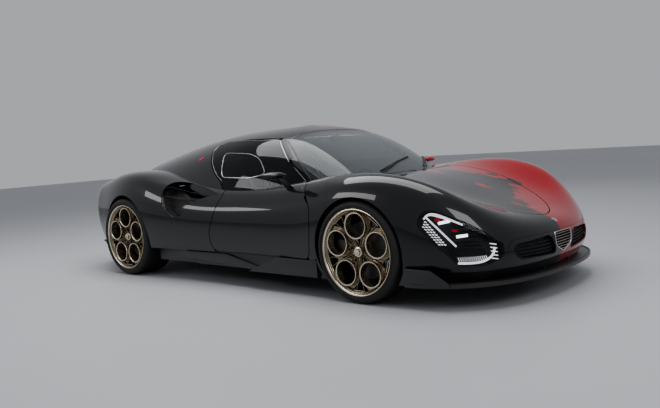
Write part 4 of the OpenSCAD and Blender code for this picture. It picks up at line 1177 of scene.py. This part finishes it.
def intakes():
    band = combine("band", body_solid(25.5), (CUT, body_solid(37)),
                   (WITHIN, lengthwise(NOSE_INTAKE, 2000, 2400, 8, reach=40)),
                   (CUT, across(LAMP_OUTLINE, 500, OUTER, 1)), keep=True)
    fixed(shade(band, 30), MESH, "nose_mesh", ["grille"], slot="dark_frame")
    edge = [(2276, 150, 378), (2282, 120, 300), (2284, 112, 258), (2236, 478, 274), (2218, 532, 318),
            (2222, 520, 362)]
    lip = strip("lip", BODY_SKIN, edge, 6, 9, 6.5, 40)
    fixed(lip, SATIN, "nose_intake_lip", slot="dark_satin")
    vanes = []
    for k in range(4):
        z = 284 + 22 * k
        vanes.append(bar("s", (2282, 140, z), (2224, 505, z + 6), 5, 10, BODY_SKIN, 22))
    fixed(joined("vanes", vanes), SATIN, "nose_intake_vane", slot="dark_satin")
    slats = []
    for k in range(7):
        z = 275 + 17 * k
        half = 112 if z > 300 else 112 * (z - 248) / 52
        line = [(2284, half * (t / 6 - 1) + half * t / 6, z) for t in range(7)]
        centres, normals = on_skin(BODY_SKIN, line, 9)
        slats.append(sweep("s", centres, normals, 5.5, 8))
    finish_piece(joined("grille_slats", slats), "chassis", SLAT, [], "steel")
    backing = combine("grille_backing", body_solid(20), (CUT, body_solid(30)),
                      (WITHIN, lengthwise(SHIELD, 2100, 2400, -2)), keep=True)
    finish_piece(backing, "chassis", MESH, [], "dark_frame")
    frame_line = [(2270, y, z) for y, z in grown(SHIELD, -5)]
    ring = strip("grille_frame", BODY_SKIN, frame_line, 9, 9, 6, 22, loop=True)
    finish_piece(ring, "chassis", BRIGHT, [], "steel")
    cup = combine("cup", body_solid(25.3), (WITHIN, across(SIDE_INTAKE_OUTLINE, 600, OUTER, 8, reach=60)),
                  (CUT, body_solid(87)),
                  (CUT, cutter(combine("hollow", intake_opening, (CUT, body_solid(75)), keep=True))),
                  (CUT, CABIN))
    fixed(shade(cup, 30), MESH, "side_intake_duct", ["side_intakes"], slot="dark_frame")
    fin = [(-790, 915, 712), (-700, 905, 702), (-573, 890, 690), (-440, 868, 682), (-365, 858, 676)]
    blade = strip("fin", BODY_SKIN, fin, 26, 9, 20, 40, taper=0.4)
    fixed(blade, BLACK, "side_intake_fin", slot="paint_black")
    lip_line = raised(grown(SIDE_INTAKE_OUTLINE, -1.5), 900)
    lip = strip("lip", BODY_SKIN, lip_line, 5, 4, 3.0, 60, loop=True)
    fixed(lip, BLACK, "side_intake_lip", slot="paint_black")


def badges():
    centre, normal = BODY_SKIN.at((2241, -20, 458))
    finish_piece(boss("nose_badge", centre, normal, 21, 4), "chassis", BRIGHT, [], "steel")
    outline = [(-648, 990), (-610, 1032), (-596, 1024), (-622, 978)]
    line = [(x, 640, z) for x, z in outline]
    centres, normals = on_skin(CABIN_SKIN, dense(line, 8, 10, True), 0.2)
    middle = sum(centres) / len(centres)
    push = sum(normals) / len(normals)
    count = len(centres)
    points = [*centres, *[c + n * 2.5 + (middle - c) * 0.06 for c, n in zip(centres, normals)],
              middle + push * 3.0,
              middle - push * 0.5]
    faces = [(i, (i + 1) % count, count + (i + 1) % count, count + i) for i in range(count)]
    faces += [(count + i, count + (i + 1) % count, 2 * count) for i in range(count)]
    faces += [((i + 1) % count, i, 2 * count + 1) for i in range(count)]
    badge = new_piece("badge", points, faces, smooth=40)
    # The badge glows with red_accent emission: painted light, as a badge is no lamp.
    fixed(badge, RED_ACCENT, "pillar_badge", slot="red_lens")


def boss(name, centre, normal, radius, height):
    """A low domed disc standing on a surface."""
    turn = Vector(normal).to_track_quat("Z", "Y").to_matrix()
    profile = [(0, height), (radius * 0.55, height * 0.97), (radius * 0.86, height * 0.8),
               (radius * 0.9, height * 0.95),
               (radius, height * 0.7), (radius, -0.5)]
    return revolve(name, profile, 48, lambda p: tuple(np.array(centre) + np.array(turn @ Vector(p))))


def revolve(name, profile, sides, place, smooth=35, loop=False):
    """A turned shape from (radius, height) pairs. Place puts each (x, y, height) in the car."""
    points, faces = [], []
    count = len(profile)
    for k in range(sides):
        a = 2 * math.pi * k / sides
        points += [place((r * math.cos(a), r * math.sin(a), h)) for r, h in profile]
    for k in range(sides):
        a, b = k * count, ((k + 1) % sides) * count
        faces += [(a + i, b + i, b + i + 1, a + i + 1) for i in range(count - 1)]
        if loop:
            faces.append((a + count - 1, b + count - 1, b, a))
    return shade(cleaned(new_piece(name, points, faces), merge=True), smooth)


# ---- Sills, splitter and tail ----
def bevelled(piece, width, segments=2):
    tool = piece.modifiers.new("edge", "BEVEL")
    tool.width = width * MM
    tool.segments = segments
    tool.limit_method = "ANGLE"
    tool.angle_limit = math.radians(30)
    return shade(applied(piece), 30)


def splitter():
    blade = combine("splitter_blade", upward(SPLITTER_PLAN, 141, 164, reach=90),
                    (CUT, drum(AXLE_FRONT, SPLITTER_WELL, 500, 1200)),
                    (CUT, mirrored(drum(AXLE_FRONT, SPLITTER_WELL, 500, 1200), "well")), keep=True)
    finish_piece(bevelled(blade, 3), "chassis", COMPOSITE, ["splitter"], "dark_satin")
    turn = Matrix.Rotation(math.radians(-7), 3, "Z")

    def place(u, v, w):
        p = turn @ Vector((u, w, 0))
        return (SPLITTER_CORNER[0] + p.x, SPLITTER_CORNER[1] + p.y, v)

    plate = prism([(0, 150), (0, 261), (259, 251), (374, 178), (384, 151)], -7, 7, place)
    plate = combine("plate", plate, (CUT, drum(AXLE_FRONT, SPLITTER_WELL, 500, 1200)))
    fixed(bevelled(plate, 2), COMPOSITE, "splitter_end_plate", slot="dark_satin")
    lip = [(2312, 0, 166), (2306, 200, 166), (2279, 400, 166), (2219, 600, 166), (2124, 738, 166),
           (1986, 860, 166),
           (1860, 912, 166), (1700, 932, 166)]
    line = dense(lip, 20, 90)
    edge = sweep("edge", [p - np.array([4, 4, 3]) for p in line], [(0, 0, 1)] * len(line), 6, 4)
    fixed(edge, SATIN, "splitter_edge", slot="dark_satin")
    stays = []
    for y in (180, 470):
        x = 2215 if y < 300 else 2130
        stays.append(prism([(x, 164), (x + 26, 164), (x + 8, 232), (x - 8, 232)], y - 6, y + 6, from_side))
    stay = bevelled(combine("stay", stays[0], (ADD, stays[1])), 1.5)
    fixed(stay, COMPOSITE, "splitter_stay", slot="dark_satin")


def skirts():
    base = across([(-1005, 261), (-1005, 151), (-600, 151), (600, 139), (944, 139), (944, 261)], 791, 867,
                  reach=6)
    blade = across([(-588, 252), (-570, 201), (-100, 173), (215, 151), (330, 166), (-60, 250)], 867, 904,
                   reach=14)
    plate = across([(216, 139), (300, 170), (528, 260), (930, 260), (930, 139)], 867, 924, reach=5)
    whole = combine("skirt", base, (ADD, blade), (ADD, plate), keep=True)
    fixed(bevelled(whole, 3), COMPOSITE, "side_skirt", ["side_skirts"], slot="dark_satin")


def tail():
    floor = across([(-1790, 199), (-1790, 151), (-1830, 151), (-2317, 226), (-2317, 239), (-2051, 239),
                    (-2051, 199)],
                   -639, 639, reach=5)
    whole = floor
    for y in (120, 300, 480, 622):
        for low in (y, -y - 14):
            fin = across([(-1850, 156), (-1900, 121), (-2200, 121), (-2300, 229)], low, low + 14, reach=20)
            whole = combine("tail_diffuser", whole, (ADD, fin))
    finish_piece(bevelled(rename(whole, "tail_diffuser"), 2), "chassis", COMPOSITE, ["diffuser"],
                 "dark_satin")
    pipe = [(44, 0), (50, 2), (52, 8), (52, 262), (46, 270), (46, 200), (34, 150), (44, 120), (44, 0)]
    x, y, z = EXHAUST_TIP
    tip = revolve("tip", pipe, 64, lambda p: (x + p[2], y + p[0], z + p[1]))
    fixed(tip, TIP, "exhaust_tip", slot="exhaust_metal")
    # A black disc closes the pipe inside the tip: painted shade for the dark inside of the exhaust.
    shade_disc = revolve("shade_disc", [(0, 0), (45, 0), (45, 4), (0, 4)], 64,
                   lambda p: (x + 58 + p[2], y + p[0], z + p[1]))
    fixed(shade_disc, FELT, "exhaust_baffle", slot="exhaust_metal")
    silencer = combine("silencer", block((-2044, -359, 261), (-1761, 359, 399)), keep=True)
    finish_piece(bevelled(silencer, 26, 4), "chassis", TIP, ["exhaust"], "exhaust_metal")
    for y, x, name in TAIL_LAMPS:
        tail_lamp(x, y, name)


def tail_lamp(x, y, name):
    """Bezel, lens and glowing ring of one round lamp on each side."""
    def turned_part(label, profile, back, loop):
        return revolve(label, profile, 64, lambda p: (x + back + p[2], y + p[0], TAIL_LAMP_HEIGHT + p[1]),
                       loop=loop)

    bezel = [(57, 0), (57, -4), (52, -7), (47, -4), (46, 2), (46, 30), (57, 30)]
    fixed(turned_part("bezel", bezel, 6, True), BRIGHT, "tail_lamp_bezel_" + name, slot="steel")
    lens = [(0, -1), (20, 0), (38, 3), (46, 8), (46, 60), (0, 60)]
    replaced = ["tail_lights"] if name == "inner" else []
    fixed(turned_part("lens", lens, 6, False), RED_LIGHT, "tail_lamp_lens_" + name, replaced,
          slot="red_lens")
    halo = [(27, -5), (31, -6), (35, -4), (35, 2), (27, 2)]
    fixed(turned_part("halo", halo, 8, True), RED_LIGHT, "tail_lamp_ring_" + name, slot="glass")


# ---- Mirrors ----
def mirrors():
    rows = []
    for k in range(17):
        t = k / 16
        size = math.sin(math.pi * min(0.999, 0.04 + 0.93 * t)) ** 0.55
        y = 884 + 176 * t
        x = 640 - 46 * t
        for a in range(20):
            angle = 2 * math.pi * a / 20
            bulge = 1.0 if math.cos(angle) > 0 else 0.62
            rows.append((x + 52 * size * bulge * math.cos(angle), y,
                         853 + 27 * size * math.sin(angle) + 4 * t))
    shell = new_piece("mirror", rows, tube_faces(17, 20), smooth=60)
    left, right = with_twin(shell, "mirror_shell_left", "mirror_shell_right")
    finish_piece(left, "left_door", RED, ["mirror_left"], "paint_red")
    finish_piece(right, "right_door", BLACK, ["mirror_right"], "paint_black")
    sections = []
    for k in range(9):
        t = k / 8
        y = 806 + 96 * t
        z = 752 + 76 * t ** 1.4
        x = 612 + 16 * t
        chord = 44 - 16 * t
        thick = 13 - 3 * t
        sections += [(x + chord * math.cos(2 * math.pi * a / 16), y,
                      z + thick * math.sin(2 * math.pi * a / 16))
                     for a in range(16)]
    stem = new_piece("stem", sections, tube_faces(9, 16), smooth=60)
    on_doors(stem, SATIN, "mirror_stem", slot="dark_satin")
    ring = [(588 - 46 * (0.5 + 0.5 * math.cos(a)) * 0.5 + 8, 972 + 74 * math.cos(a), 855 + 20 * math.sin(a))
            for a in np.linspace(0, 2 * math.pi, 28, endpoint=False)]
    pane = new_piece("pane", ring + [(592, 972, 855)], [(i, (i + 1) % 28, 28) for i in range(28)],
                     smooth=40)
    on_doors(pane, BRIGHT, "mirror_pane", slot="steel")


# ---- Wheels ----
def wheel_place(axle, side, face_y):
    """Puts a point drawn with its height pointing out of the car at one wheel."""
    return lambda p: (axle.x + p[0] * side, side * (face_y + p[2]), axle.z + p[1])


def tyre_profile(radius, width):
    half = width / 2
    rim = 286
    side = [(rim - 13, half - 16), (rim - 3, half - 9), (rim + 5, half - 5), (rim + 14, half - 2.0),
            (rim + 24, half - 0.6),
            (radius - 34, half - 0.5), (radius - 24, half - 3), (radius - 13, half - 9), (radius - 6,
                                                                                          half - 17),
            (radius - 2, half - 27)]
    crown = []
    for share in (0.62, 0.30):
        centre = share * (half - 30)
        crown += [(radius - 0.8, centre + 7), (radius - 7, centre + 5.5), (radius - 7, centre - 5.5),
                  (radius - 0.8, centre - 7)]
    middle = [(radius, 6), (radius - 7, 4.5), (radius - 7, -4.5), (radius, -6)]
    outer = side + crown + middle
    inner = [(r, -h) for r, h in reversed(side + crown)]
    return outer + inner


def spokes():
    """The angles of the five rings, from the top, each with that of the gap after it."""
    for k in range(5):
        ring = math.radians(90 + 72 * k)
        yield ring, ring + math.radians(36)


def turned(shape, angle):
    """A flat outline turned about the axle."""
    c, d = math.cos(angle), math.sin(angle)
    return [(u * c - v * d, u * d + v * c) for u, v in shape]


def window(shape, angle, reach):
    return prism(turned(softened(shape, reach), angle), -60, 160, from_above)


def barrel_piece(half):
    """The tube of a wheel with its two lips, and a thin sunk web behind the rings."""
    lip = half - 4
    tube = revolve("barrel", [(262, -half + 18), (285, -half + 17), (285.6, -half + 22), (272, -half + 34),
                              (262, -half + 50), (262, half - 40), (266, half - 26), (272, half - 17),
                              (285.6, half - 10), (285.6, lip - 3), (270, lip - 18), (262, half - 27),
                              (257, half - 40), (257, -half + 18)], 128, lambda p: p, 40, loop=True)
    floor = half - 64
    web = revolve("web", [(0, floor), (60, floor + 1), (160, floor + 8), (259, floor + 22),
                          (259, floor + 8),
                          (160, floor - 8), (60, floor - 16), (0, floor - 16)], 96, lambda p: p, 40)
    cuts = []
    for ring, gap in spokes():
        hole = [(172 + u, v) for u, v in circle(80, 56)]
        cuts.append(prism(turned(hole, ring), -60, 160, from_above))
        cuts.append(window([(252, -66), (256, 0), (252, 66), (226, 40), (200, 4), (200, -4), (226, -40)],
                           gap, 8))
        cuts.append(window([(52, -7), (52, 7), (84, 19), (124, 12), (158, 3), (158, -3), (124, -12),
                            (84, -19)], gap, 6))
        cuts.append(window([(40, -4), (40, 4), (82, 14), (82, -14)], ring, 4))
    return tube, shade(combine("web", web, *[(CUT, c) for c in cuts]), 30)


def rim_face(half):
    """Five raised rings, the bright lip around them and the centre nut."""
    top = half - 15
    parts = [revolve("lip", [(286, half - 8), (286, half - 4), (283, half - 3), (279, half - 5),
                             (275, half - 12),
                             (276, half - 14), (281, half - 12)], 128, lambda p: p, 40, loop=True)]
    for ring, gap in spokes():
        cx, cy = 174 * math.cos(ring), 174 * math.sin(ring)
        section = [(77, top - 58), (78, top - 12), (79, top - 3), (83, top), (88, top - 1), (90, top - 7),
                   (89, top - 22),
                   (83, top - 58)]
        parts.append(revolve("ring", section, 72, lambda p, cx=cx, cy=cy: (cx + p[0], cy + p[1], p[2]), 50,
                             loop=True))
        ledge = [(*turned([(254 - 0.0011 * v * v, v)], gap)[0], top - 16)
                 for v in np.linspace(-44, 44, 9)]
        parts.append(sweep("ledge", ledge, [(0, 0, 1)] * 9, 5, 6))
    hub = [(0, top - 4), (12, top - 4), (20, top - 2), (24, top - 5), (25, top - 16), (33, top - 19),
           (36, top - 26),
           (38, top - 40), (40, top - 70), (0, top - 70)]
    parts.append(revolve("hub", hub, 60, lambda p: p, 30))
    return joined("rim_face", parts)


def rim_ribs(half):
    """Thin ribs, in the shade between the rings, that run from the nut to the rings and the lip."""
    top = half - 15
    parts = []
    for ring, gap in spokes():
        for way in (-1, 1):
            thin = [((30, way * 6), (100, way * 41), ring, top - 34, top - 20),
                    ((30, way * 4), (170, way * 7), gap, top - 36, top - 28),
                    ((170, way * 7), (256, way * 34), gap, top - 28, top - 20)]
            for (u0, v0), (u1, v1), angle, z0, z1 in thin:
                line = [(*turned([(u0 + (u1 - u0) * t / 6, v0 + (v1 - v0) * t / 6)], angle)[0],
                         z0 + (z1 - z0) * t / 6 - 9) for t in range(7)]
                parts.append(sweep("rib", line, [(0, 0, 1)] * 7, 5.5, 10))
        stud = [(0, top - 30), (6, top - 30), (7, top - 33), (7, top - 60), (0, top - 60)]
        parts.append(revolve("stud", stud, 12,
                             lambda p: (50 * math.cos(gap) + p[0], 50 * math.sin(gap) + p[1], p[2])))
    return joined("rim_ribs", parts)


def standing(piece, name, axle, side, middle):
    """A copy of a wheel part, drawn about its own axle, at one corner of the car."""
    mesh = piece.data.copy()
    mesh.name = name
    copy = in_scene(name, mesh)
    place = wheel_place(axle, side, middle)
    points = np.array([place(v.co / MM) for v in mesh.vertices])
    mesh.vertices.foreach_set("co", (points * MM).astype(np.float32).ravel())
    mesh.update()
    return cleaned(copy)


def corner(prefix, axle, radius, width, face, side, wheel_body, hub_body, rim):
    """Tyre, wheel, disc and caliper at one corner of the car."""
    middle = face - width / 2
    hand = "left" if side > 0 else "right"
    ending = prefix + "_" + hand
    tyre = revolve("tyre_cover_" + ending, tyre_profile(radius, width), 160,
                   wheel_place(axle, side, middle), 28)
    finish_piece(tyre, wheel_body, RUBBER, ["tyre_" + ending], "tyre")
    ribs = []
    for level in (0.30, 0.62, 0.86):
        r = 290 + (radius - 34 - 290) * level
        profile = [(r - 1.2, width / 2 - 1.0), (r, width / 2 - 0.1), (r + 1.2, width / 2 - 1.0)]
        ribs.append(revolve("line", profile, 120, wheel_place(axle, side, middle), 20))
    finish_piece(joined("tyre_sidewall_lines_" + ending, ribs), wheel_body, RUBBER, [], "tyre")
    barrel, web, ribs, rings = rim
    finish_piece(standing(rings, "wheel_rings_" + ending, axle, side, middle), wheel_body, CHAMPAGNE,
                 ["wheel_" + ending], "bronze_alloy")
    # Barrel, web and ribs take the darker alloy, painted shade behind the bright rings.
    for piece, name in ((barrel, "wheel_barrel_"), (web, "wheel_web_"), (ribs, "wheel_ribs_")):
        finish_piece(standing(piece, name + ending, axle, side, middle), wheel_body, SHADED_BRONZE, [],
                     "bronze_alloy")
    disc_profile = [(30, 24), (56, 26), (62, 22), (66, 2), (104, 0), (106, -1), (193, -1), (194, -3),
                    (194, -10),
                    (150, -11), (150, -19), (194, -20), (194, -28), (193, -30), (106, -30), (80, -28),
                    (30, -26)]
    disc = revolve("brake_disc_" + ending, disc_profile, 96, wheel_place(axle, side, middle), 30, loop=True)
    finish_piece(disc, wheel_body, CERAMIC, ["disc_" + ending], "disc")
    caliper_outline = [(-198, -72), (-238, -50), (-246, 0), (-238, 50), (-198, 72), (-150, 52), (-138, 0),
                       (-150, -52)]
    body = prism(softened(caliper_outline, 26), 5, 24, lambda u, v,
                 w: wheel_place(axle, side, middle)((u * side, v, w)))
    caliper = bevelled(combine("caliper_" + ending, body, keep=True), 6, 3)
    finish_piece(caliper, hub_body, CALIPER, [], "alloy")


def running_gear():
    front = (*barrel_piece(122.5), rim_ribs(122.5), rim_face(122.5))
    rear = (*barrel_piece(152.5), rim_ribs(152.5), rim_face(152.5))
    for side, hand in ((1, "left"), (-1, "right")):
        corner("front", AXLE_FRONT, 340, 245, 960, side, "front_" + hand + "_wheel", hand + "_upright",
               front)
        corner("rear", AXLE_REAR, 345, 305, 965, side, "rear_" + hand + "_wheel", "chassis", rear)
    for piece in (*front, *rear):
        bpy.data.objects.remove(piece)


# ---- Cabin ----
def padded_block(name, low, high, shape, cap):
    """A stuffed block, blown up a little and held to its size. Shape moves each point of the plain block."""
    work = bmesh.new()
    bmesh.ops.create_cube(work, size=1.0)
    bmesh.ops.subdivide_edges(work, edges=work.edges, cuts=7, use_grid_fill=True)
    low, high = np.array(low, float), np.array(high, float)
    for v in work.verts:
        u = np.array(v.co) + 0.5
        v.co = Vector((shape(low + (high - low) * u, u)) * MM)
    mesh = bpy.data.meshes.new(name)
    work.to_mesh(mesh)
    work.free()
    piece = in_scene(name, mesh)
    remesh = piece.modifiers.new("remesh", "REMESH")
    remesh.mode = "VOXEL"
    remesh.voxel_size = 0.011
    applied(piece)
    start = np.array([v.co for v in piece.data.vertices])
    cloth = piece.modifiers.new("cloth", "CLOTH")
    cloth.settings.use_pressure = True
    cloth.settings.uniform_pressure_force = 4.0
    cloth.settings.effector_weights.gravity = 0
    for index in range(1, 16):
        bpy.context.scene.frame_set(index)
    applied(piece)
    bpy.context.scene.frame_set(1)
    end = np.array([v.co for v in piece.data.vertices])
    move = end - start
    length = np.linalg.norm(move, axis=1)[:, None]
    limited = start + move * np.minimum(1, cap * MM / np.maximum(length, 1e-9))
    piece.data.vertices.foreach_set("co", limited.astype(np.float32).ravel())
    smooth = piece.modifiers.new("smooth", "SMOOTH")
    smooth.iterations = 4
    applied(piece)
    piece.data.shade_smooth()
    return piece


def channels(piece, axis, pitch, depth, facing):
    """Sewn channels pressed into a pad's face."""
    points = np.array([v.co for v in piece.data.vertices]) / MM
    piece.data.update()
    normals = np.array([v.normal for v in piece.data.vertices])
    line = np.abs(((points[:, axis] / pitch) % 1.0) - 0.5) * 2
    press = np.clip(1 - line / 0.16, 0, 1) * np.clip(normals @ np.array(facing) * 2 - 0.6, 0, 1)
    points -= normals * (press * depth)[:, None]
    piece.data.vertices.foreach_set("co", (points * MM).astype(np.float32).ravel())
    piece.data.update()


def seats():
    middle = SEAT_MIDDLE

    def cushion(p, u):
        rise = 0.14 * (p[0] + 120)
        hollow = 16 * (1 - (2 * u[1] - 1) ** 2) * u[2]
        return np.array([p[0], p[1], p[2] + rise * 0.35 - hollow])

    def back(p, u):
        lean = (p[2] - 340) * -0.46
        waist = 1 - 0.22 * u[2] ** 2
        y = middle + (p[1] - middle) * waist
        return np.array([p[0] + lean - 14 * (1 - (2 * u[1] - 1) ** 2) * u[0], y, p[2]])

    def pad(name, shape, low, high, cap, sewn=None):
        """One stuffed part in each seat, with channels where sewn gives their axis and facing."""
        piece = padded_block(name, low, high, shape, cap)
        if sewn:
            channels(piece, sewn[0], CHANNEL_PITCH, 5, sewn[1])
        hide, fill = (HIDE, 0.7) if sewn else (HIDE_DARK, 0.8)
        replaced = ["seats"] if name == "seat_base_pad" else []
        for half_piece in fixed(piece, hide, name, replaced, slot="leather"):
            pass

    pad("seat_base_pad", cushion, (-150, middle - 150, 205), (300, middle + 150, 335), 10, (0, (0, 0, 1)))
    pad("seat_back_pad", back, (-225, middle - 145, 330), (-120, middle + 145, 800), 10, (2, (0.9, 0, 0.4)))
    pad("seat_head_pad", back, (-240, middle - 95, 815), (-160, middle + 95, 935), 9)
    for sign, tag in ((-1, "inner"), (1, "outer")):
        y = middle + sign * BOLSTER_OFFSET
        pad("seat_base_bolster_" + tag, cushion, (-140, y - 40, 215), (290, y + 40, 372), 9)
        pad("seat_back_bolster_" + tag, back, (-215, y - 36, 350), (-85, y + 36, 740), 9)
    straps = []
    for way in (-1, 1):
        lap = [(-30, 350 + way * 150, 345), (20, 350 + way * 90, 352), (60, 350 + way * 20, 356)]
        straps.append(belt([(60, 350 + way * 20, 356), (-60, 350 + way * 45, 400),
                            (-150, 350 + way * 60, 520),
                            (-210, 350 + way * 70, 700), (-262, 350 + way * 78, 820)]))
        straps.append(belt(lap))
    fixed(joined("straps", straps), WEBBING, "seat_harness", slot="leather")
    shell = [(320, 200), (300, 158), (-150, 158), (-246, 195), (-414, 640), (-462, 880), (-440, 945),
             (-424, 940),
             (-440, 880), (-392, 645), (-230, 215), (-150, 190), (290, 190), (312, 206)]
    pan = combine("pan", across(shell, middle - SEAT_HALF, middle + SEAT_HALF, reach=40), keep=True)
    fixed(bevelled(pan, 4), COMPOSITE, "seat_shell", slot="dark_frame")


def belt(points):
    """A flat strap laid along a smoothed line."""
    line = dense(points, 12, 60)
    return sweep("belt", line, [(0.9, 0, 0.45)] * len(line), 46, 3.5)


def dashboard():
    profile = [(430, 570), (408, 640), (440, 700), (500, 738), (580, 750), (730, 748), (840, 700),
               (857, 565), (760, 490),
               (560, 500)]
    top = across(profile, -638, 638, reach=45)
    opening = across([(380, 480), (380, 600), (520, 620), (560, 560), (560, 480)], -640, 180, reach=20)
    dash = combine("dash_top", top, (CUT, cutter(opening)), keep=True)
    finish_piece(bevelled(dash, 8, 3), "chassis", HIDE_DARK, ["dashboard"], "leather")
    hood = across([(430, 700), (470, 772), (560, 782), (640, 752), (600, 735), (480, 712)], 225, 475,
                  reach=25)
    finish_piece(bevelled(combine("instrument_hood", hood, keep=True), 6, 3), "chassis", HIDE_DARK, [],
                 "leather")
    dials = []
    for y in (290, 350, 410):
        dials.append(revolve("dial", [(0, 2), (22, 2), (26, 6), (29, 4), (29, -8), (0, -8)], 40,
                             lambda p, y=y: (440 - p[2], y + p[0], 735 + p[1] * 0.8)))
    finish_piece(joined("instrument_dials", dials), "chassis", BRIGHT, [], "steel")
    spine = across([(-500, 331), (-500, 400), (-300, 420), (100, 400), (420, 520), (560, 560), (700, 400),
                    (700, 331)],
                   -85, 85, reach=40)
    finish_piece(bevelled(combine("centre_tunnel", spine, keep=True), 10, 3), "chassis", HIDE_DARK, [],
                 "leather")
    knobs = [revolve("k", [(0, 16), (14, 16), (17, 12), (17, 0), (0, 0)], 32,
                     lambda p, x=x, y=y: (x + p[0], y + p[1], 404 + (x - 100) * 0.37 + p[2]))
             for x in (170, 230) for y in (-32, 32)]
    finish_piece(joined("tunnel_knobs", knobs), "chassis", BRIGHT, [], "steel")
    parcel = across([(-560, 700), (-560, 770), (-700, 880), (-760, 870), (-620, 700)], -600, 600, reach=30)
    finish_piece(bevelled(combine("rear_bulkhead_trim", parcel, keep=True), 6, 2), "chassis", HIDE_DARK, [],
                 "leather")
    mats = combine("floor_mats", block((-500, 75, 155.5), (840, 630, 162)),
                   (ADD, block((-500, -630, 155.5), (840, -75, 162))))
    finish_piece(mats, "chassis", CARPET, [], "dark_frame")
    glass = revolve("rear_view_mirror", [(0, 0), (60, 1), (76, 5), (80, 12), (70, 18), (0, 20)], 48,
                    lambda p: (362 + p[2], p[0] * 1.3, 1092 + p[1] * 0.36))
    finish_piece(glass, "chassis", SATIN, [], "dark_satin")
    stalk = sweep("rear_view_stalk", [(372 + 2 * k, 0, 1096 + 7 * k) for k in range(9)], [(-1, 0, 0)] * 9,
                  16, 10)
    finish_piece(stalk, "chassis", SATIN, [], "dark_satin")


def steering_wheel():
    tilt = Euler((0, math.radians(114), 0)).to_matrix()

    def place(p):
        q = tilt @ Vector(p)
        return (300 + q.x, 350 + q.y, 660 + q.z)

    around, sides, grip = 96, 14, 13.5
    rim = []
    for k in range(around):
        a = 2 * math.pi * k / around
        r = 166 * (1 - 0.08 * max(0.0, math.cos(a)) ** 6)
        for j in range(sides):
            b = 2 * math.pi * j / sides
            out = r + grip * math.cos(b)
            rim.append(place((out * math.cos(a), out * math.sin(a), grip * math.sin(b))))
    faces = tube_faces(around, sides)[:-2]
    last = (around - 1) * sides
    faces += [(last + j, last + (j + 1) % sides, (j + 1) % sides, j) for j in range(sides)]
    hoop = new_piece("steering_rim", rim, faces, smooth=60)
    finish_piece(hoop, "steering", HIDE_DARK, ["steering_wheel"], "leather")
    parts = [revolve("boss", [(0, -12), (30, -11), (38, -4), (38, 14), (20, 22), (16, 30), (16, 200),
                              (0, 200)], 40, place)]
    for turn in (90, 180, 270):
        a = math.radians(turn)
        line = [place((t * math.cos(a), t * math.sin(a), 8)) for t in np.linspace(20, 158, 8)]
        parts.append(sweep("spoke", line, [tuple(tilt @ Vector((0, 0, -1)))] * 8, 24, 8))
    finish_piece(joined("steering_spokes", parts), "steering", STEEL, [], "steel")


def carried_nodes():
    """CAD pieces whose own shape is already right."""
    finishes = {"tub": COMPOSITE, "front_frame": SATIN, "rear_frame": SATIN, "jacking_pads": PLASTIC,
                "hinges": STEEL, "front_arch_liners": FELT, "rear_arch_liners": FELT,
                "suspension_arms": SATIN,
                "engine_block": CAST, "knuckle_front_right": CAST, "knuckle_front_left": CAST,
                "knuckle_rear_right": CAST, "knuckle_rear_left": CAST}
    for name, material in finishes.items():
        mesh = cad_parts[name].data
        mesh.materials.clear()
        mesh.materials.append(material)


# ---- Studio ----
def studio():
    floor = new_piece("studio_floor", [(-30000, -30000, 0), (30000, -30000, 0), (30000, 30000, 0),
                                       (-30000, 30000, 0)],
                      [(0, 1, 2, 3)], FLOOR)
    world = bpy.data.worlds.new("studio_air")
    bpy.context.scene.world = world
    world.use_nodes = True
    world.node_tree.nodes["Background"].inputs[0].default_value = (0.62, 0.63, 0.66, 1)
    world.node_tree.nodes["Background"].inputs[1].default_value = 0.62
    for name, place, size, power, aim in (
            ("overhead", (-0.4, -0.4, 5.2), (7.0, 3.6), 300, (-0.4, 0, 0)),
            ("front_side", (6.5, -2.0, 4.2), (3.0, 2.4), 90, (0.8, 0, 0.6)),
            ("right_side", (-3.5, -6.0, 3.6), (5.0, 1.2), 70, (-0.4, 0, 0.5)),
            ("left_side", (-3.0, 6.5, 4.6), (4.0, 1.2), 70, (0, 0, 0.5))):
        data = bpy.data.lights.new(name, "AREA")
        data.shape = "RECTANGLE"
        data.size, data.size_y = size
        data.energy = power
        lamp = in_scene(name, data)
        lamp.location = place
        lamp.visible_glossy = name != "left_side"
        lamp.rotation_euler = (Vector(aim) - Vector(place)).to_track_quat("-Z", "Y").to_euler()
    bpy.context.scene.view_settings.look = "AgX - Medium High Contrast"
    data = bpy.data.cameras.new("camera")
    data.sensor_width = 36
    data.lens = 38.98
    data.clip_end = 200
    camera = in_scene("camera", data)
    yaw, pitch, roll = 2.310, -0.083, -0.068
    ahead = Vector((math.cos(yaw) * math.cos(pitch), math.sin(yaw) * math.cos(pitch), math.sin(pitch)))
    right = ahead.cross(Vector((0, 0, 1))).normalized()
    up = right.cross(ahead)
    right_rolled = right * math.cos(roll) + up * math.sin(roll)
    up_rolled = up * math.cos(roll) - right * math.sin(roll)
    turn = Matrix((right_rolled, up_rolled, -ahead)).transposed().to_4x4()
    camera.matrix_world = Matrix.Translation((4.292, -4.434, 1.048)) @ turn
    bpy.context.scene.camera = camera


fenders()
cowl_and_hood()
bumpers()
roof_and_lid()
doors()
glass_trims()
wipers()
headlamps()
intakes()
badges()
splitter()
skirts()
tail()
mirrors()
running_gear()
seats()
dashboard()
steering_wheel()
carried_nodes()
for piece in CUTTERS:
    bpy.data.objects.remove(piece)
studio()
